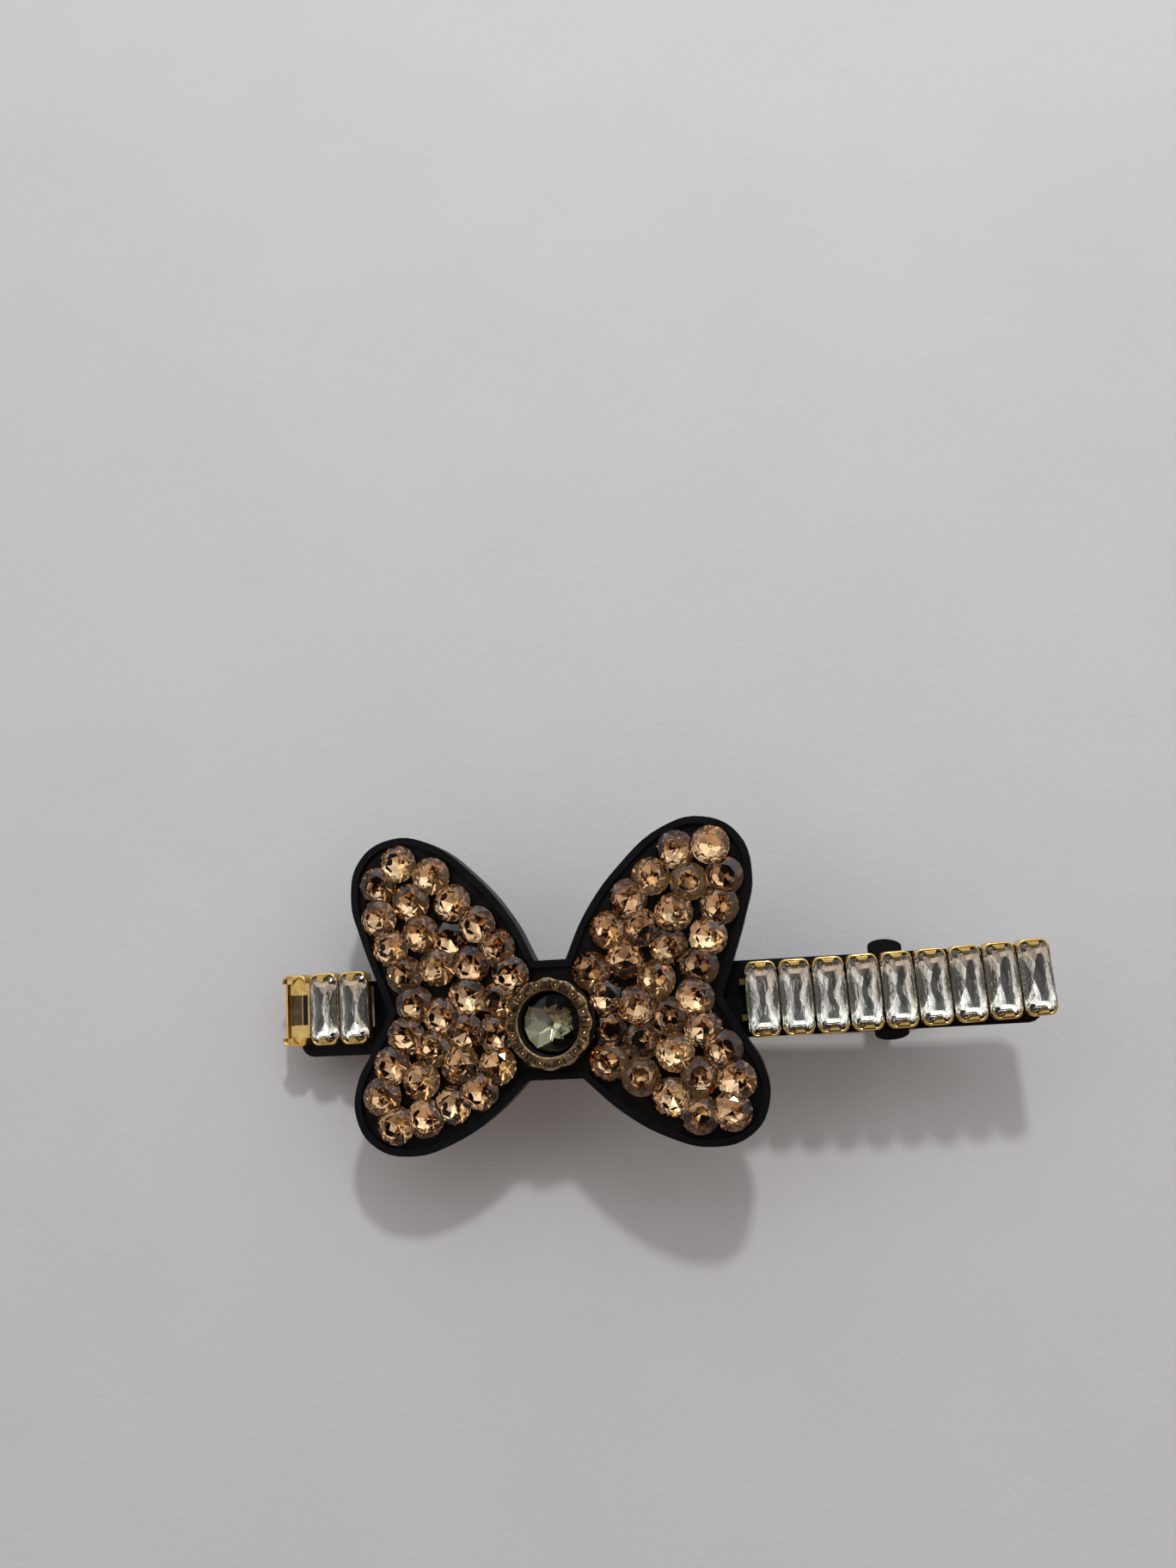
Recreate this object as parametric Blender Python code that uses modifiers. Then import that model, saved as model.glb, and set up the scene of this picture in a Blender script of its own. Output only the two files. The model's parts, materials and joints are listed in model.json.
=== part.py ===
"""A bow-shaped rhinestone hair clip on an 80 mm French barrette.

Everything is placed in the bar's own level frame: x along the bar, y across it, z up, with the
crown of the bar's arch at the origin. One empty then lays the whole clip down on a surface, so
that it rests on the heel and the lip of its tongue, with z = 0 there and the origin at the
bottom centre of its box. Sizes are in metres.
"""

import math
import random

import bmesh
import bpy
from mathutils import Matrix, Vector

MM = 0.001
GAP = 0.1 * MM  # between pieces that touch
RUNNING = 0.05 * MM  # radial clearance of a pin in its holes

# Bar of the barrette, an arched strip
BAR_LENGTH = 80.0 * MM
BAR_WIDTH = 8.0 * MM
BAR_THICKNESS = 0.8 * MM
BAR_ARCH = 2.0 * MM  # rise of the crown over the ends
BAR_CORNER = 1.5 * MM

# Hinge at the bar's left end
PIN_FROM_END = 2.0 * MM
PIN_DROP = 1.4 * MM  # pin centre below the bar's underside
PIN_RADIUS = 0.6 * MM
PIN_HEAD_RADIUS = 1.0 * MM
PIN_HEAD = 0.35 * MM
PIN_SIDES = 24
LUG_THICKNESS = 0.6 * MM
LUG_RADIUS = 1.15 * MM
LUG_FOOT = 3.4 * MM  # length of a lug where it leaves the bar
LUG_CLEAR = 0.15 * MM  # lug to the tongue's ear

# Tongue, the strip that closes under the hair
TONGUE_WIDTH = 5.6 * MM
TONGUE_THICKNESS = 0.6 * MM
TONGUE_HEEL = 1.1 * MM  # reach past the pin
TONGUE_UNDER_PIN = 1.5 * MM  # underside below the pin centre
TONGUE_FALL = 3.73  # degrees, slope down to the right
TONGUE_PAST_CATCH = 2.5 * MM  # catch to the start of the lip, along x
HEEL_CORNER = 0.35  # corner radius over the tongue's width
LIP_RUN = 3.6 * MM
LIP_DROP = 1.6 * MM
EAR_THICKNESS = 0.6 * MM
EAR_RADIUS = 1.1 * MM
EAR_INSET = 0.01 * MM  # keeps an ear's side off the tongue's side

# Catch riveted under the bar's right part
CATCH_FROM_END = 15.1 * MM  # catch to the bar's right end
CATCH_BASE_LENGTH = 6.0 * MM
CATCH_BASE_WIDTH = 3.6 * MM
CATCH_BASE_THICKNESS = 0.5 * MM
ARM_WIDTH = 2.4 * MM
ARM_THICKNESS = 0.5 * MM
ARM_OUT = 1.15 * MM  # middle of an arm's wall from the bar's centre line
ARM_BEND = 0.33 * MM  # bend axis below the base
BARB_BELOW = 0.1 * MM  # barb's shoulder under the tongue's underside
BARB_HEIGHT = 0.8 * MM
BARB_LIP = 0.25 * MM  # thickness of its shoulder and of its tip
BARB_CLEAR = 0.1 * MM  # barb to the slot's edge
SLOT_SIDE_CLEAR = 0.5 * MM
TONGUE_RAIL = 0.9 * MM  # tongue left beside the slot
PAD_RADIUS = 1.8 * MM
PAD_THICKNESS = 0.5 * MM
PAD_OUT = 4.4 * MM
PAD_DROP = 2.9 * MM  # pad centre below the bar's underside
PAD_SPLAY = 26.0  # degrees from upright
STRUT_WIDTH = 1.6 * MM
RIVET_RADIUS = 0.45 * MM
RIVET_HEAD_RADIUS = 0.85 * MM
RIVET_HEAD = 0.3 * MM
RIVET_INSET = 0.95 * MM  # rivet to the end of the catch base
RIVET_SIDES = 16
HEAD_TAPER = 0.7  # end of a rivet's or pin's head over its radius

# Tension leaf bowed between the bar and the tongue
LEAF_WIDTH = 4.0 * MM
LEAF_THICKNESS = 0.3 * MM
LEAF_BOW = 2.2 * MM
LEAF_FROM_PIN = 2.4 * MM

# Bow tray
BOW_FROM_END = 29.5 * MM  # bar's left end to the bow's middle
TRAY_HEIGHT = 2.4 * MM
TRAY_FLOOR = 0.7 * MM
TRAY_RIM = 0.75 * MM
BOW_GLUE_SIZE = (24.0 * MM, 7.0 * MM)
BOW_GLUE = 0.2 * MM
BED_THICKNESS = 0.85 * MM
WING_ROOM = 40.0 * MM  # block that cuts one wing's filling from the other's

BOW_STEPS = 5  # straight parts between two points of the outline

# Half of the bow's outline in mm from its middle: (x, y, corner)
BOW_HALF = [
    (2.9, -7.2, True),
    (6.9, -10.8, False),
    (11.4, -13.4, False),
    (15.7, -14.5, False),
    (19.8, -13.5, False),
    (21.9, -10.4, False),
    (21.6, -6.5, False),
    (20.1, -3.8, False),
    (17.9, 0.5, True),
    (19.6, 4.9, False),
    (20.9, 8.6, False),
    (21.9, 12.8, False),
    (20.8, 17.2, False),
    (17.1, 19.3, False),
    (12.8, 18.5, False),
    (7.9, 14.7, False),
    (3.9, 9.7, False),
    (1.7, 5.2, True),
]

# Centre of the bow
CENTRE_Y = -1.37 * MM
CENTRE_STONE_RADIUS = 3.1 * MM
CENTRE_STONE_TABLE = 0.58  # table radius over stone radius
CENTRE_STONE_CROWN = 0.7 * MM
CENTRE_STONE_GIRDLE = 0.2 * MM
CENTRE_STONE_SIDES = 16
SEAT_RADIUS = 3.3 * MM
SEAT_FLAT = 0.6  # radius of the seat's flat middle over its radius
SEAT_SLOPE = 0.4 * MM
CUP_RADIUS = 4.6 * MM
CUP_HEIGHT = 2.5 * MM
SEAT_DEPTH = 1.7 * MM
RING_X = -0.2 * MM
RING_OVAL = 0.96  # width over height
RING_INNER = 3.45 * MM
RING_OUTER = 4.75 * MM
RING_THICKNESS = 0.6 * MM
RING_BEVEL = 0.15 * MM
ROUND_SIDES = 48
BEADS = 12
BEAD_CIRCLE = 4.12 * MM
BEAD_RADIUS = 0.42 * MM
BEAD_RISE = 0.1 * MM  # bead's middle above the ring's top
HALO_STONE_SIZE = (1.1 * MM, 1.1 * MM, 0.55 * MM)
HALO_STONE_BEVEL = 0.3 * MM

# Round stones of the wings, 4 mm chatons
STONE_RADIUS = 2.0 * MM
STONE_TABLE = 0.58  # table radius over stone radius
STONE_CROWN = 0.75 * MM
STONE_GIRDLE = 0.2 * MM
STONE_PAVILION = 0.7 * MM
STONE_KEEL = 0.5  # radius of its cut-short end over stone radius
STONE_SIDES = 8
STONE_HEIGHT = 1.85 * MM  # girdle above the tray's floor
STONE_SPREAD = 0.22 * MM
STONE_TILT = 9.0  # degrees, at most
SCATTER_SEEDS = {"left": 3, "right": 8}

# Middles of the stones in mm from the bow's middle
LEFT_STONES = [
    (-16.4, 16.5), (-18.8, 14.2), (-12.6, 14.9), (-10.4, 11.9), (-18.7, 10.7), (-15.0, 12.2),
    (-14.0, 8.8), (-7.7, 9.4), (-17.5, 7.5), (-10.9, 8.0), (-5.7, 6.8), (-16.0, 4.5),
    (-12.3, 5.1), (-8.6, 5.2), (-4.3, 3.9), (-14.9, 1.3), (-9.1, 1.8), (-5.8, 1.1),
    (-12.0, -0.1), (-16.0, -2.0), (-9.4, -1.9), (-6.15, -2.2), (-13.0, -3.4), (-17.7, -5.0),
    (-10.2, -5.2), (-6.1, -5.5), (-14.5, -6.7), (-18.8, -8.2), (-8.2, -8.1), (-17.4, -11.2),
    (-14.2, -10.6), (-11.2, -9.4),
]
RIGHT_STONES = [
    (14.1, 16.0), (17.8, 16.2), (11.3, 13.3), (19.0, 12.9), (15.3, 12.5), (8.8, 11.2),
    (13.5, 9.4), (18.3, 9.8), (6.5, 8.0), (9.9, 8.0), (16.9, 6.7), (12.7, 5.9),
    (15.8, 3.7), (4.4, 3.8), (8.0, 4.8), (11.2, 2.6), (5.75, 1.0), (15.1, 0.5),
    (9.0, 0.1), (12.2, -1.2), (6.15, -2.3), (15.7, -2.6), (9.3, -3.6), (17.65, -4.85),
    (12.7, -4.9), (5.8, -5.5), (9.0, -7.2), (15.1, -7.4), (18.8, -7.9), (12.1, -9.4),
    (14.8, -11.2), (18.1, -11.0),
]

# Cup chain of 3.3 x 7 mm baguettes
CUP_PITCH = 3.48 * MM
CUP_SIZE = (3.1 * MM, 7.8 * MM)
CUP_WALL = 0.3 * MM
CUP_CORNER = 0.5 * MM
CHAIN_CUP_HEIGHT = 1.75 * MM  # at the cup's ends
CUP_SIDE_HEIGHT = 0.95 * MM  # along its stone's long sides
CHAIN_CUP_FLOOR = 0.35 * MM
FLOOR_HOLE = (1.4 * MM, 3.4 * MM)
CLAW_WIDTH = 0.8 * MM
CLAW_HEAD = (1.7 * MM, 0.75 * MM)
CLAW_RISE = 0.65 * MM
CLAW_THICKNESS = 0.25 * MM
CLAW_OVERLAP = 0.5 * MM  # length of a claw's stem inside the cup's wall
CLAW_INSET = 0.02 * MM  # keeps a claw's faces off the wall's faces
LINK_SIZE = (0.7 * MM, 0.3 * MM)
LINK_SPREAD = 1.7 * MM
LINK_SHORT = 0.18 * MM
LINK_CUT = 0.55 * MM
LINK_HEIGHT = 0.5 * MM
CHAIN_GLUE = 0.1 * MM
CHAIN_GLUE_WIDTH = 4.4 * MM
CHAIN_LIFT = 0.3 * MM  # cup floor above the bar
BAGUETTE_WIDTH = 3.3 * MM  # wider than its cup, over the cup's low sides
BAGUETTE_CROWN = 0.55 * MM
BAGUETTE_GIRDLE = 0.2 * MM
BAGUETTE_PAVILION = 1.0 * MM
BAGUETTE_BEVEL = 0.55 * MM
BAGUETTE_RIDGE = 0.36  # inset of the ridge underneath over the stone's width

LEFT_CHAIN_CUPS = 3
LEFT_CHAIN_FROM_BOW = 20.6 * MM  # bow's middle to the right end of the left chain
LEFT_CHAIN_Y = 1.26 * MM
LEFT_CHAIN_HEADING = 1.0  # degrees
EMPTY_CUP_DROOP = 8.0  # degrees, past the bar's end

RIGHT_CHAIN_CUPS = 9
RIGHT_CHAIN_FROM_BOW = 20.15 * MM
RIGHT_CHAIN_Y = -0.06 * MM
RIGHT_CHAIN_HEADINGS = (0.4, 2.4)  # degrees, at its first and last cup

BLACK = ((0.012, 0.012, 0.016), 0.32, 0.0)
STEEL = ((0.30, 0.30, 0.31), 0.35, 1.0)
GOLD = ((0.83, 0.58, 0.20), 0.25, 1.0)
BRONZE = ((0.35, 0.22, 0.13), 0.35, 0.8)
CHAMPAGNE = ((0.42, 0.24, 0.13), 0.12, 0.2)
CLEAR = ((0.80, 0.80, 0.82), 0.06, 0.1)
SMOKE = ((0.33, 0.32, 0.25), 0.08, 0.2)
GLUE = ((0.62, 0.60, 0.52), 0.4, 0.0)


# --------------------------------------------------------------------------- scene and helpers


def empty_scene():
    for old in list(bpy.data.objects):
        bpy.data.objects.remove(old, do_unlink=True)


def collection(name):
    made = bpy.data.collections.new(name)
    bpy.context.scene.collection.children.link(made)
    return made


def empty(name, parent=None, matrix=None):
    made = bpy.data.objects.new(name, None)
    PARTS.objects.link(made)
    made.parent = parent
    if matrix is not None:
        made.matrix_local = matrix
    return made


def finish(obj, look):
    """The object's own material, and smooth shading with its edges kept sharp."""
    colour, roughness, metallic = look
    material = bpy.data.materials.new(obj.name)
    material.use_nodes = True
    shader = material.node_tree.nodes["Principled BSDF"]
    shader.inputs["Base Color"].default_value = (*colour, 1.0)
    shader.inputs["Roughness"].default_value = roughness
    shader.inputs["Metallic"].default_value = metallic
    obj.data.materials.clear()
    obj.data.materials.append(material)
    obj.data.shade_smooth()
    obj.data.set_sharp_from_angle(angle=math.radians(30))


def add(name, mesh, parent, matrix=None, look=None):
    """A mesh as an object of the clip, or as a cutter where it has no look."""
    obj = bpy.data.objects.new(name, mesh)
    obj.parent = parent
    obj.matrix_local = matrix or Matrix()
    if look is None:
        CUTTERS.objects.link(obj)
        obj.hide_render = True
        obj.display_type = "WIRE"
    else:
        PARTS.objects.link(obj)
        finish(obj, look)
    return obj


def boolean(obj, operation, tool, itself=False):
    step = obj.modifiers.new(tool.name, "BOOLEAN")
    step.operation = operation
    step.object = tool
    step.use_self = itself
    return obj


def baked(obj):
    """The object's mesh in its own place, with its modifiers applied; the object is removed."""
    graph = bpy.context.evaluated_depsgraph_get()
    mesh = bpy.data.meshes.new_from_object(obj.evaluated_get(graph), depsgraph=graph)
    mesh.transform(obj.matrix_basis)
    mesh.name = obj.name
    bpy.data.objects.remove(obj)
    return mesh


def welded(mesh):
    shape = bmesh.new()
    shape.from_mesh(mesh)
    bmesh.ops.remove_doubles(shape, verts=shape.verts, dist=1e-6)
    bmesh.ops.recalc_face_normals(shape, faces=shape.faces)
    shape.to_mesh(mesh)
    shape.free()
    return mesh


def filled(curve, thickness):
    """A flat closed curve as a plate, half of its thickness on each side of the curve's plane."""
    curve.dimensions = "2D"
    curve.fill_mode = "BOTH"
    curve.extrude = thickness / 2
    obj = bpy.data.objects.new(curve.name, curve)
    CUTTERS.objects.link(obj)
    return welded(baked(obj))


def plate(name, outline, thickness):
    curve = bpy.data.curves.new(name, "CURVE")
    spline = curve.splines.new("POLY")
    spline.points.add(len(outline) - 1)
    for point, (x, y) in zip(spline.points, outline):
        point.co = (x, y, 0, 1)
    spline.use_cyclic_u = True
    return filled(curve, thickness)


def turned(name, profile, sides):
    """A profile of (radius, height) from its top to its bottom, turned about the z axis."""
    line = bpy.data.meshes.new(name)
    edges = [(i, i + 1) for i in range(len(profile) - 1)]
    line.from_pydata([(r, 0, z) for r, z in profile], edges, [])
    obj = bpy.data.objects.new(name, line)
    CUTTERS.objects.link(obj)
    screw = obj.modifiers.new("turn", "SCREW")
    screw.steps = sides
    screw.render_steps = sides
    screw.use_merge_vertices = True
    screw.merge_threshold = 1e-6
    return baked(obj)


def box(name, size, middle=(0, 0, 0)):
    shape = bmesh.new()
    place = Matrix.Translation(middle) @ Matrix.Diagonal((*size, 1))
    bmesh.ops.create_cube(shape, size=1, matrix=place)
    mesh = bpy.data.meshes.new(name)
    shape.to_mesh(mesh)
    shape.free()
    return mesh


def cylinder(name, radius, length, sides):
    shape = bmesh.new()
    bmesh.ops.create_cone(
        shape, cap_ends=True, segments=sides, radius1=radius, radius2=radius, depth=length
    )
    mesh = bpy.data.meshes.new(name)
    shape.to_mesh(mesh)
    shape.free()
    return mesh


def rounded_rectangle(length, width, corner, parts=2):
    points = []
    for turn, (sx, sy) in enumerate([(1, 1), (-1, 1), (-1, -1), (1, -1)]):
        cx = sx * (length / 2 - corner)
        cy = sy * (width / 2 - corner)
        for part in range(parts + 1):
            angle = math.radians(90 * (turn + part / parts))
            points.append((cx + corner * math.cos(angle), cy + corner * math.sin(angle)))
    return points


def ribbon(line, thickness):
    """The outline of a strip seen from its side: a line, and the same line that far below it."""
    under = []
    for i, point in enumerate(line):
        before = Vector(line[max(i - 1, 0)])
        after = Vector(line[min(i + 1, len(line) - 1)])
        along = (after - before).normalized()
        under.append((point[0] + along.y * thickness, point[1] - along.x * thickness))
    return [*line, *reversed(under)], under


def steps(start, end, count):
    return [start + (end - start) * i / count for i in range(count + 1)]


STAND_XZ = Matrix.Rotation(math.pi / 2, 4, "X")  # a flat outline's y becomes z
STAND_YZ = Matrix.Rotation(math.pi / 2, 4, "Z") @ STAND_XZ  # its x becomes y, its y becomes z


def at(x=0.0, y=0.0, z=0.0):
    return Matrix.Translation((x, y, z))


# ------------------------------------------------------------------------------------- the bar

ARCH_RADIUS = (BAR_LENGTH / 2) ** 2 / (2 * BAR_ARCH) + BAR_ARCH / 2


def bar_top(x):
    return math.sqrt(ARCH_RADIUS**2 - x**2) - ARCH_RADIUS


def bar_angle(x):
    """Slope of the bar at x, in radians, rising to the right where it is positive."""
    return -math.asin(x / ARCH_RADIUS)


def bar_under(x):
    return bar_top(x) - BAR_THICKNESS


def on_bar(x, y=0.0, lift=0.0, heading=0.0):
    """A frame on the bar's top, turned by its slope and then by a heading about its normal."""
    tilt = Matrix.Rotation(-bar_angle(x), 4, "Y")
    return at(x, y, bar_top(x)) @ tilt @ Matrix.Rotation(heading, 4, "Z") @ at(z=lift)


PIN_X = PIN_FROM_END - BAR_LENGTH / 2
PIN_Z = bar_under(PIN_X) - PIN_DROP
EAR_OUTER = TONGUE_WIDTH / 2
LUG_INNER = EAR_OUTER + LUG_CLEAR
FALL = math.tan(math.radians(TONGUE_FALL))
CATCH_X = BAR_LENGTH / 2 - CATCH_FROM_END
TONGUE_RUN = CATCH_X + TONGUE_PAST_CATCH - PIN_X  # pin to the start of the lip, along x
BOW_X = BOW_FROM_END - BAR_LENGTH / 2
LEFT_CHAIN_END = BOW_X - LEFT_CHAIN_FROM_BOW
RIGHT_CHAIN_START = BOW_X + RIGHT_CHAIN_FROM_BOW
CUT_MARGIN = 2 * MM  # reach of a cutter past what it cuts


def knuckle(radius, root_half, root_z):
    """Side outline of a lug or an ear: round about the pin, running to a root at that height."""
    arc = steps(math.pi, 2 * math.pi, 8) if root_z > 0 else steps(0, math.pi, 8)
    round_end = [(radius * math.cos(a), radius * math.sin(a)) for a in arc]
    side = 1 if root_z > 0 else -1
    return [*round_end, (side * root_half, root_z), (-side * root_half, root_z)]


def top_bar(level):
    reach = BAR_LENGTH / 2 + CUT_MARGIN / 2
    line = [(x, bar_top(x)) for x in steps(-reach, reach, 24)]
    strip, _ = ribbon(line, BAR_THICKNESS)
    blank = plate("top_bar", strip, BAR_WIDTH + CUT_MARGIN)
    bar = add("top_bar", blank, level, STAND_XZ, BLACK)
    outline = rounded_rectangle(BAR_LENGTH, BAR_WIDTH, BAR_CORNER, 4)
    plan = plate("bar_plan", outline, 4 * BAR_ARCH + CUT_MARGIN)
    boolean(bar, "INTERSECT", add("bar_plan", plan, level))
    root = PIN_DROP + BAR_THICKNESS / 2
    for side, label in ((-1, "front"), (1, "back")):
        outline = knuckle(LUG_RADIUS, LUG_FOOT / 2, root)
        lug = plate(f"lug_{label}", outline, LUG_THICKNESS)
        y = side * (LUG_INNER + LUG_THICKNESS / 2)
        boolean(bar, "UNION", add(f"lug_{label}", lug, level, at(PIN_X, y, PIN_Z) @ STAND_XZ))
    pin_hole(bar, level, "bar_pin_hole")
    for label, x in rivet_places():
        rivet_hole(bar, level, f"bar_hole_{label}", x)
    return bar


def pin_hole(obj, level, name):
    hole = cylinder(name, PIN_RADIUS + RUNNING, 2 * BAR_WIDTH, PIN_SIDES)
    half_side = Matrix.Rotation(math.pi / PIN_SIDES, 4, "Z")
    place = at(PIN_X, 0, PIN_Z) @ STAND_XZ @ half_side
    boolean(obj, "DIFFERENCE", add(name, hole, level, place))


def rivet_hole(obj, level, name, x):
    hole = cylinder(name, RIVET_RADIUS + RUNNING, 2 * CUT_MARGIN, RIVET_SIDES)
    boolean(obj, "DIFFERENCE", add(name, hole, level, on_bar(x)))


def hinge_pin(level):
    head_in = LUG_INNER + LUG_THICKNESS + GAP
    end = head_in + PIN_HEAD
    profile = [
        (0, end),
        (PIN_HEAD_RADIUS * HEAD_TAPER, end),
        (PIN_HEAD_RADIUS, head_in + PIN_HEAD / 2),
        (PIN_HEAD_RADIUS, head_in),
        (PIN_RADIUS, head_in),
    ]
    profile += [(r, -z) for r, z in reversed(profile)]
    place = at(PIN_X, 0, PIN_Z) @ STAND_XZ
    return add("hinge_pin", turned("hinge_pin", profile, PIN_SIDES), level, place, STEEL)


# ---------------------------------------------------------------------------------- the tongue


def tongue_line():
    """The tongue's top line, from its heel to its lip."""
    top_at_pin = PIN_Z - TONGUE_UNDER_PIN + TONGUE_THICKNESS
    line = [(PIN_X + dx, top_at_pin - dx * FALL) for dx in (-TONGUE_HEEL, TONGUE_RUN / 2)]
    bend_x = PIN_X + TONGUE_RUN
    bend_z = top_at_pin - TONGUE_RUN * FALL
    for share in steps(0, 1, 6):
        line.append((bend_x + LIP_RUN * share, bend_z - LIP_RUN * share * FALL - LIP_DROP * share**2))
    return line


def tongue_top(x):
    return PIN_Z - TONGUE_UNDER_PIN + TONGUE_THICKNESS - (x - PIN_X) * FALL


def tongue_under(x):
    return tongue_top(x) - TONGUE_THICKNESS


def tongue(level):
    outline, _ = ribbon(tongue_line(), TONGUE_THICKNESS)
    blank = plate("tongue", outline, TONGUE_WIDTH + CUT_MARGIN)
    strip = add("tongue", blank, level, STAND_XZ, BLACK)
    length = TONGUE_HEEL + TONGUE_RUN + LIP_RUN + CUT_MARGIN
    plan = rounded_rectangle(length, TONGUE_WIDTH, TONGUE_WIDTH * HEEL_CORNER, 4)
    middle = PIN_X - TONGUE_HEEL - CUT_MARGIN + length / 2
    cutter = add("tongue_plan", plate("tongue_plan", plan, length / 2), level, at(middle))
    boolean(strip, "INTERSECT", cutter)
    root = tongue_top(PIN_X) - PIN_Z - TONGUE_THICKNESS / 2
    for side, label in ((-1, "front"), (1, "back")):
        ear = plate(f"ear_{label}", knuckle(EAR_RADIUS, TONGUE_HEEL * 0.95, root), EAR_THICKNESS)
        y = side * (EAR_OUTER - EAR_THICKNESS / 2 - EAR_INSET)
        boolean(strip, "UNION", add(f"ear_{label}", ear, level, at(PIN_X, y, PIN_Z) @ STAND_XZ))
    pin_hole(strip, level, "tongue_pin_hole")
    slot = box("slot", (ARM_WIDTH + 2 * SLOT_SIDE_CLEAR, 2 * slot_half(), 3 * CUT_MARGIN))
    boolean(strip, "DIFFERENCE", add("slot", slot, level, at(CATCH_X, 0, tongue_top(CATCH_X))))
    return strip


def slot_half():
    return TONGUE_WIDTH / 2 - TONGUE_RAIL


def tension_leaf(level):
    start = PIN_X + LEAF_FROM_PIN
    end = CATCH_X - CATCH_BASE_LENGTH / 2 - 4 * GAP
    line = []
    for share in steps(0, 1, 16):
        x = start + (end - start) * share
        bow = LEAF_BOW * math.sin(math.pi * share)
        line.append((x, bar_under(x) - 2 * GAP - bow))
    outline, _ = ribbon(line, LEAF_THICKNESS)
    mesh = plate("tension_leaf", outline, LEAF_WIDTH)
    return add("tension_leaf", mesh, level, STAND_XZ, STEEL)


# ----------------------------------------------------------------------------------- the catch


def rivet_places():
    reach = CATCH_BASE_LENGTH / 2 - RIVET_INSET
    return [("left", CATCH_X - reach), ("right", CATCH_X + reach)]


def base_under(x):
    return bar_under(x) - GAP - CATCH_BASE_THICKNESS


def catch_base(level):
    half = CATCH_BASE_LENGTH / 2
    line = [(x, bar_under(x) - GAP) for x in steps(CATCH_X - half, CATCH_X + half, 2)]
    outline, _ = ribbon(line, CATCH_BASE_THICKNESS)
    mesh = plate("catch_base", outline, CATCH_BASE_WIDTH)
    base = add("catch_base", mesh, level, STAND_XZ, STEEL)
    for label, x in rivet_places():
        rivet_hole(base, level, f"base_hole_{label}", x)
        rivet(level, label, x)
    return base


def rivet(level, label, x):
    """A rivet whose flush end is in the bar's top, and whose head is under the catch base."""
    under = BAR_THICKNESS + 2 * GAP + CATCH_BASE_THICKNESS
    profile = [
        (0, -RUNNING),
        (RIVET_RADIUS, -RUNNING),
        (RIVET_RADIUS, -under),
        (RIVET_HEAD_RADIUS, -under),
        (RIVET_HEAD_RADIUS * HEAD_TAPER, -under - RIVET_HEAD),
        (0, -under - RIVET_HEAD),
    ]
    name = f"catch_rivet_{label}"
    return add(name, turned(name, profile, RIVET_SIDES), level, on_bar(x), STEEL)


def bend_height():
    """The lowest corner of the base along an arm, less the room that the arm's round top needs."""
    return base_under(CATCH_X + ARM_WIDTH / 2) - ARM_BEND


def catch_arm(level, side, label):
    """A spring arm bent down from the base: its finger pad outside, its barb in the tongue's slot."""
    bend = bend_height()
    under = tongue_under(CATCH_X) - BARB_BELOW
    inner = -ARM_THICKNESS / 2
    outer = ARM_THICKNESS / 2
    barb = slot_half() - BARB_CLEAR - ARM_OUT
    top = [(outer * math.cos(a), outer * math.sin(a)) for a in steps(0, math.pi, 6)]
    outline = [
        *top,
        (inner, under - BARB_HEIGHT - bend),
        (inner + BARB_LIP, under - BARB_HEIGHT - bend),
        (barb, under - BARB_LIP - bend),
        (barb, under - bend),
        (outer, under - bend),
    ]
    outline = [(side * y, z) for y, z in outline]
    if side < 0:
        outline.reverse()
    mesh = plate(f"catch_arm_{label}", outline, ARM_WIDTH)
    hinge = empty(f"bend_{label}", level, at(CATCH_X, side * ARM_OUT, bend))
    arm = add(f"catch_arm_{label}", mesh, hinge, STAND_YZ, BLACK)
    pad_y = PAD_OUT - ARM_OUT
    pad_z = bar_under(CATCH_X) - PAD_DROP - bend
    strut = box(f"strut_{label}", (STRUT_WIDTH, pad_y, ARM_THICKNESS))
    boolean(arm, "UNION", add(f"strut_{label}", strut, hinge, at(0, side * pad_y / 2, pad_z)))
    lean = Matrix.Rotation(side * math.radians(PAD_SPLAY), 4, "X") @ STAND_XZ
    pad = cylinder(f"pad_{label}", PAD_RADIUS, PAD_THICKNESS, 24)
    boolean(arm, "UNION", add(f"pad_{label}", pad, hinge, at(0, side * pad_y, pad_z) @ lean))
    return arm


# ------------------------------------------------------------------------------------- the bow


def bow_curve(name, offset):
    """The bow's closed outline as a smooth curve with four hard corners at its waist and sides."""
    right = [(x * MM, y * MM, corner) for x, y, corner in BOW_HALF]
    left = [(-x, y, corner) for x, y, corner in reversed(right)]
    curve = bpy.data.curves.new(name, "CURVE")
    curve.resolution_u = BOW_STEPS
    curve.offset = offset
    spline = curve.splines.new("BEZIER")
    spline.bezier_points.add(len(right) + len(left) - 1)
    spline.use_cyclic_u = True
    for point, (x, y, corner) in zip(spline.bezier_points, right + left):
        point.co = (x, y, 0)
        kind = "VECTOR" if corner else "AUTO"
        point.handle_left_type = kind
        point.handle_right_type = kind
    return curve


def bow_tray(bow):
    block = filled(bow_curve("bow_tray", 0), TRAY_HEIGHT)
    tray = add("bow_tray", block, bow, at(z=TRAY_HEIGHT / 2), BLACK)
    cavity = filled(bow_curve("tray_cavity", -TRAY_RIM), TRAY_HEIGHT)
    cutter = add("tray_cavity", cavity, bow, at(z=TRAY_HEIGHT / 2 + TRAY_FLOOR))
    return boolean(tray, "DIFFERENCE", cutter)


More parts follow.
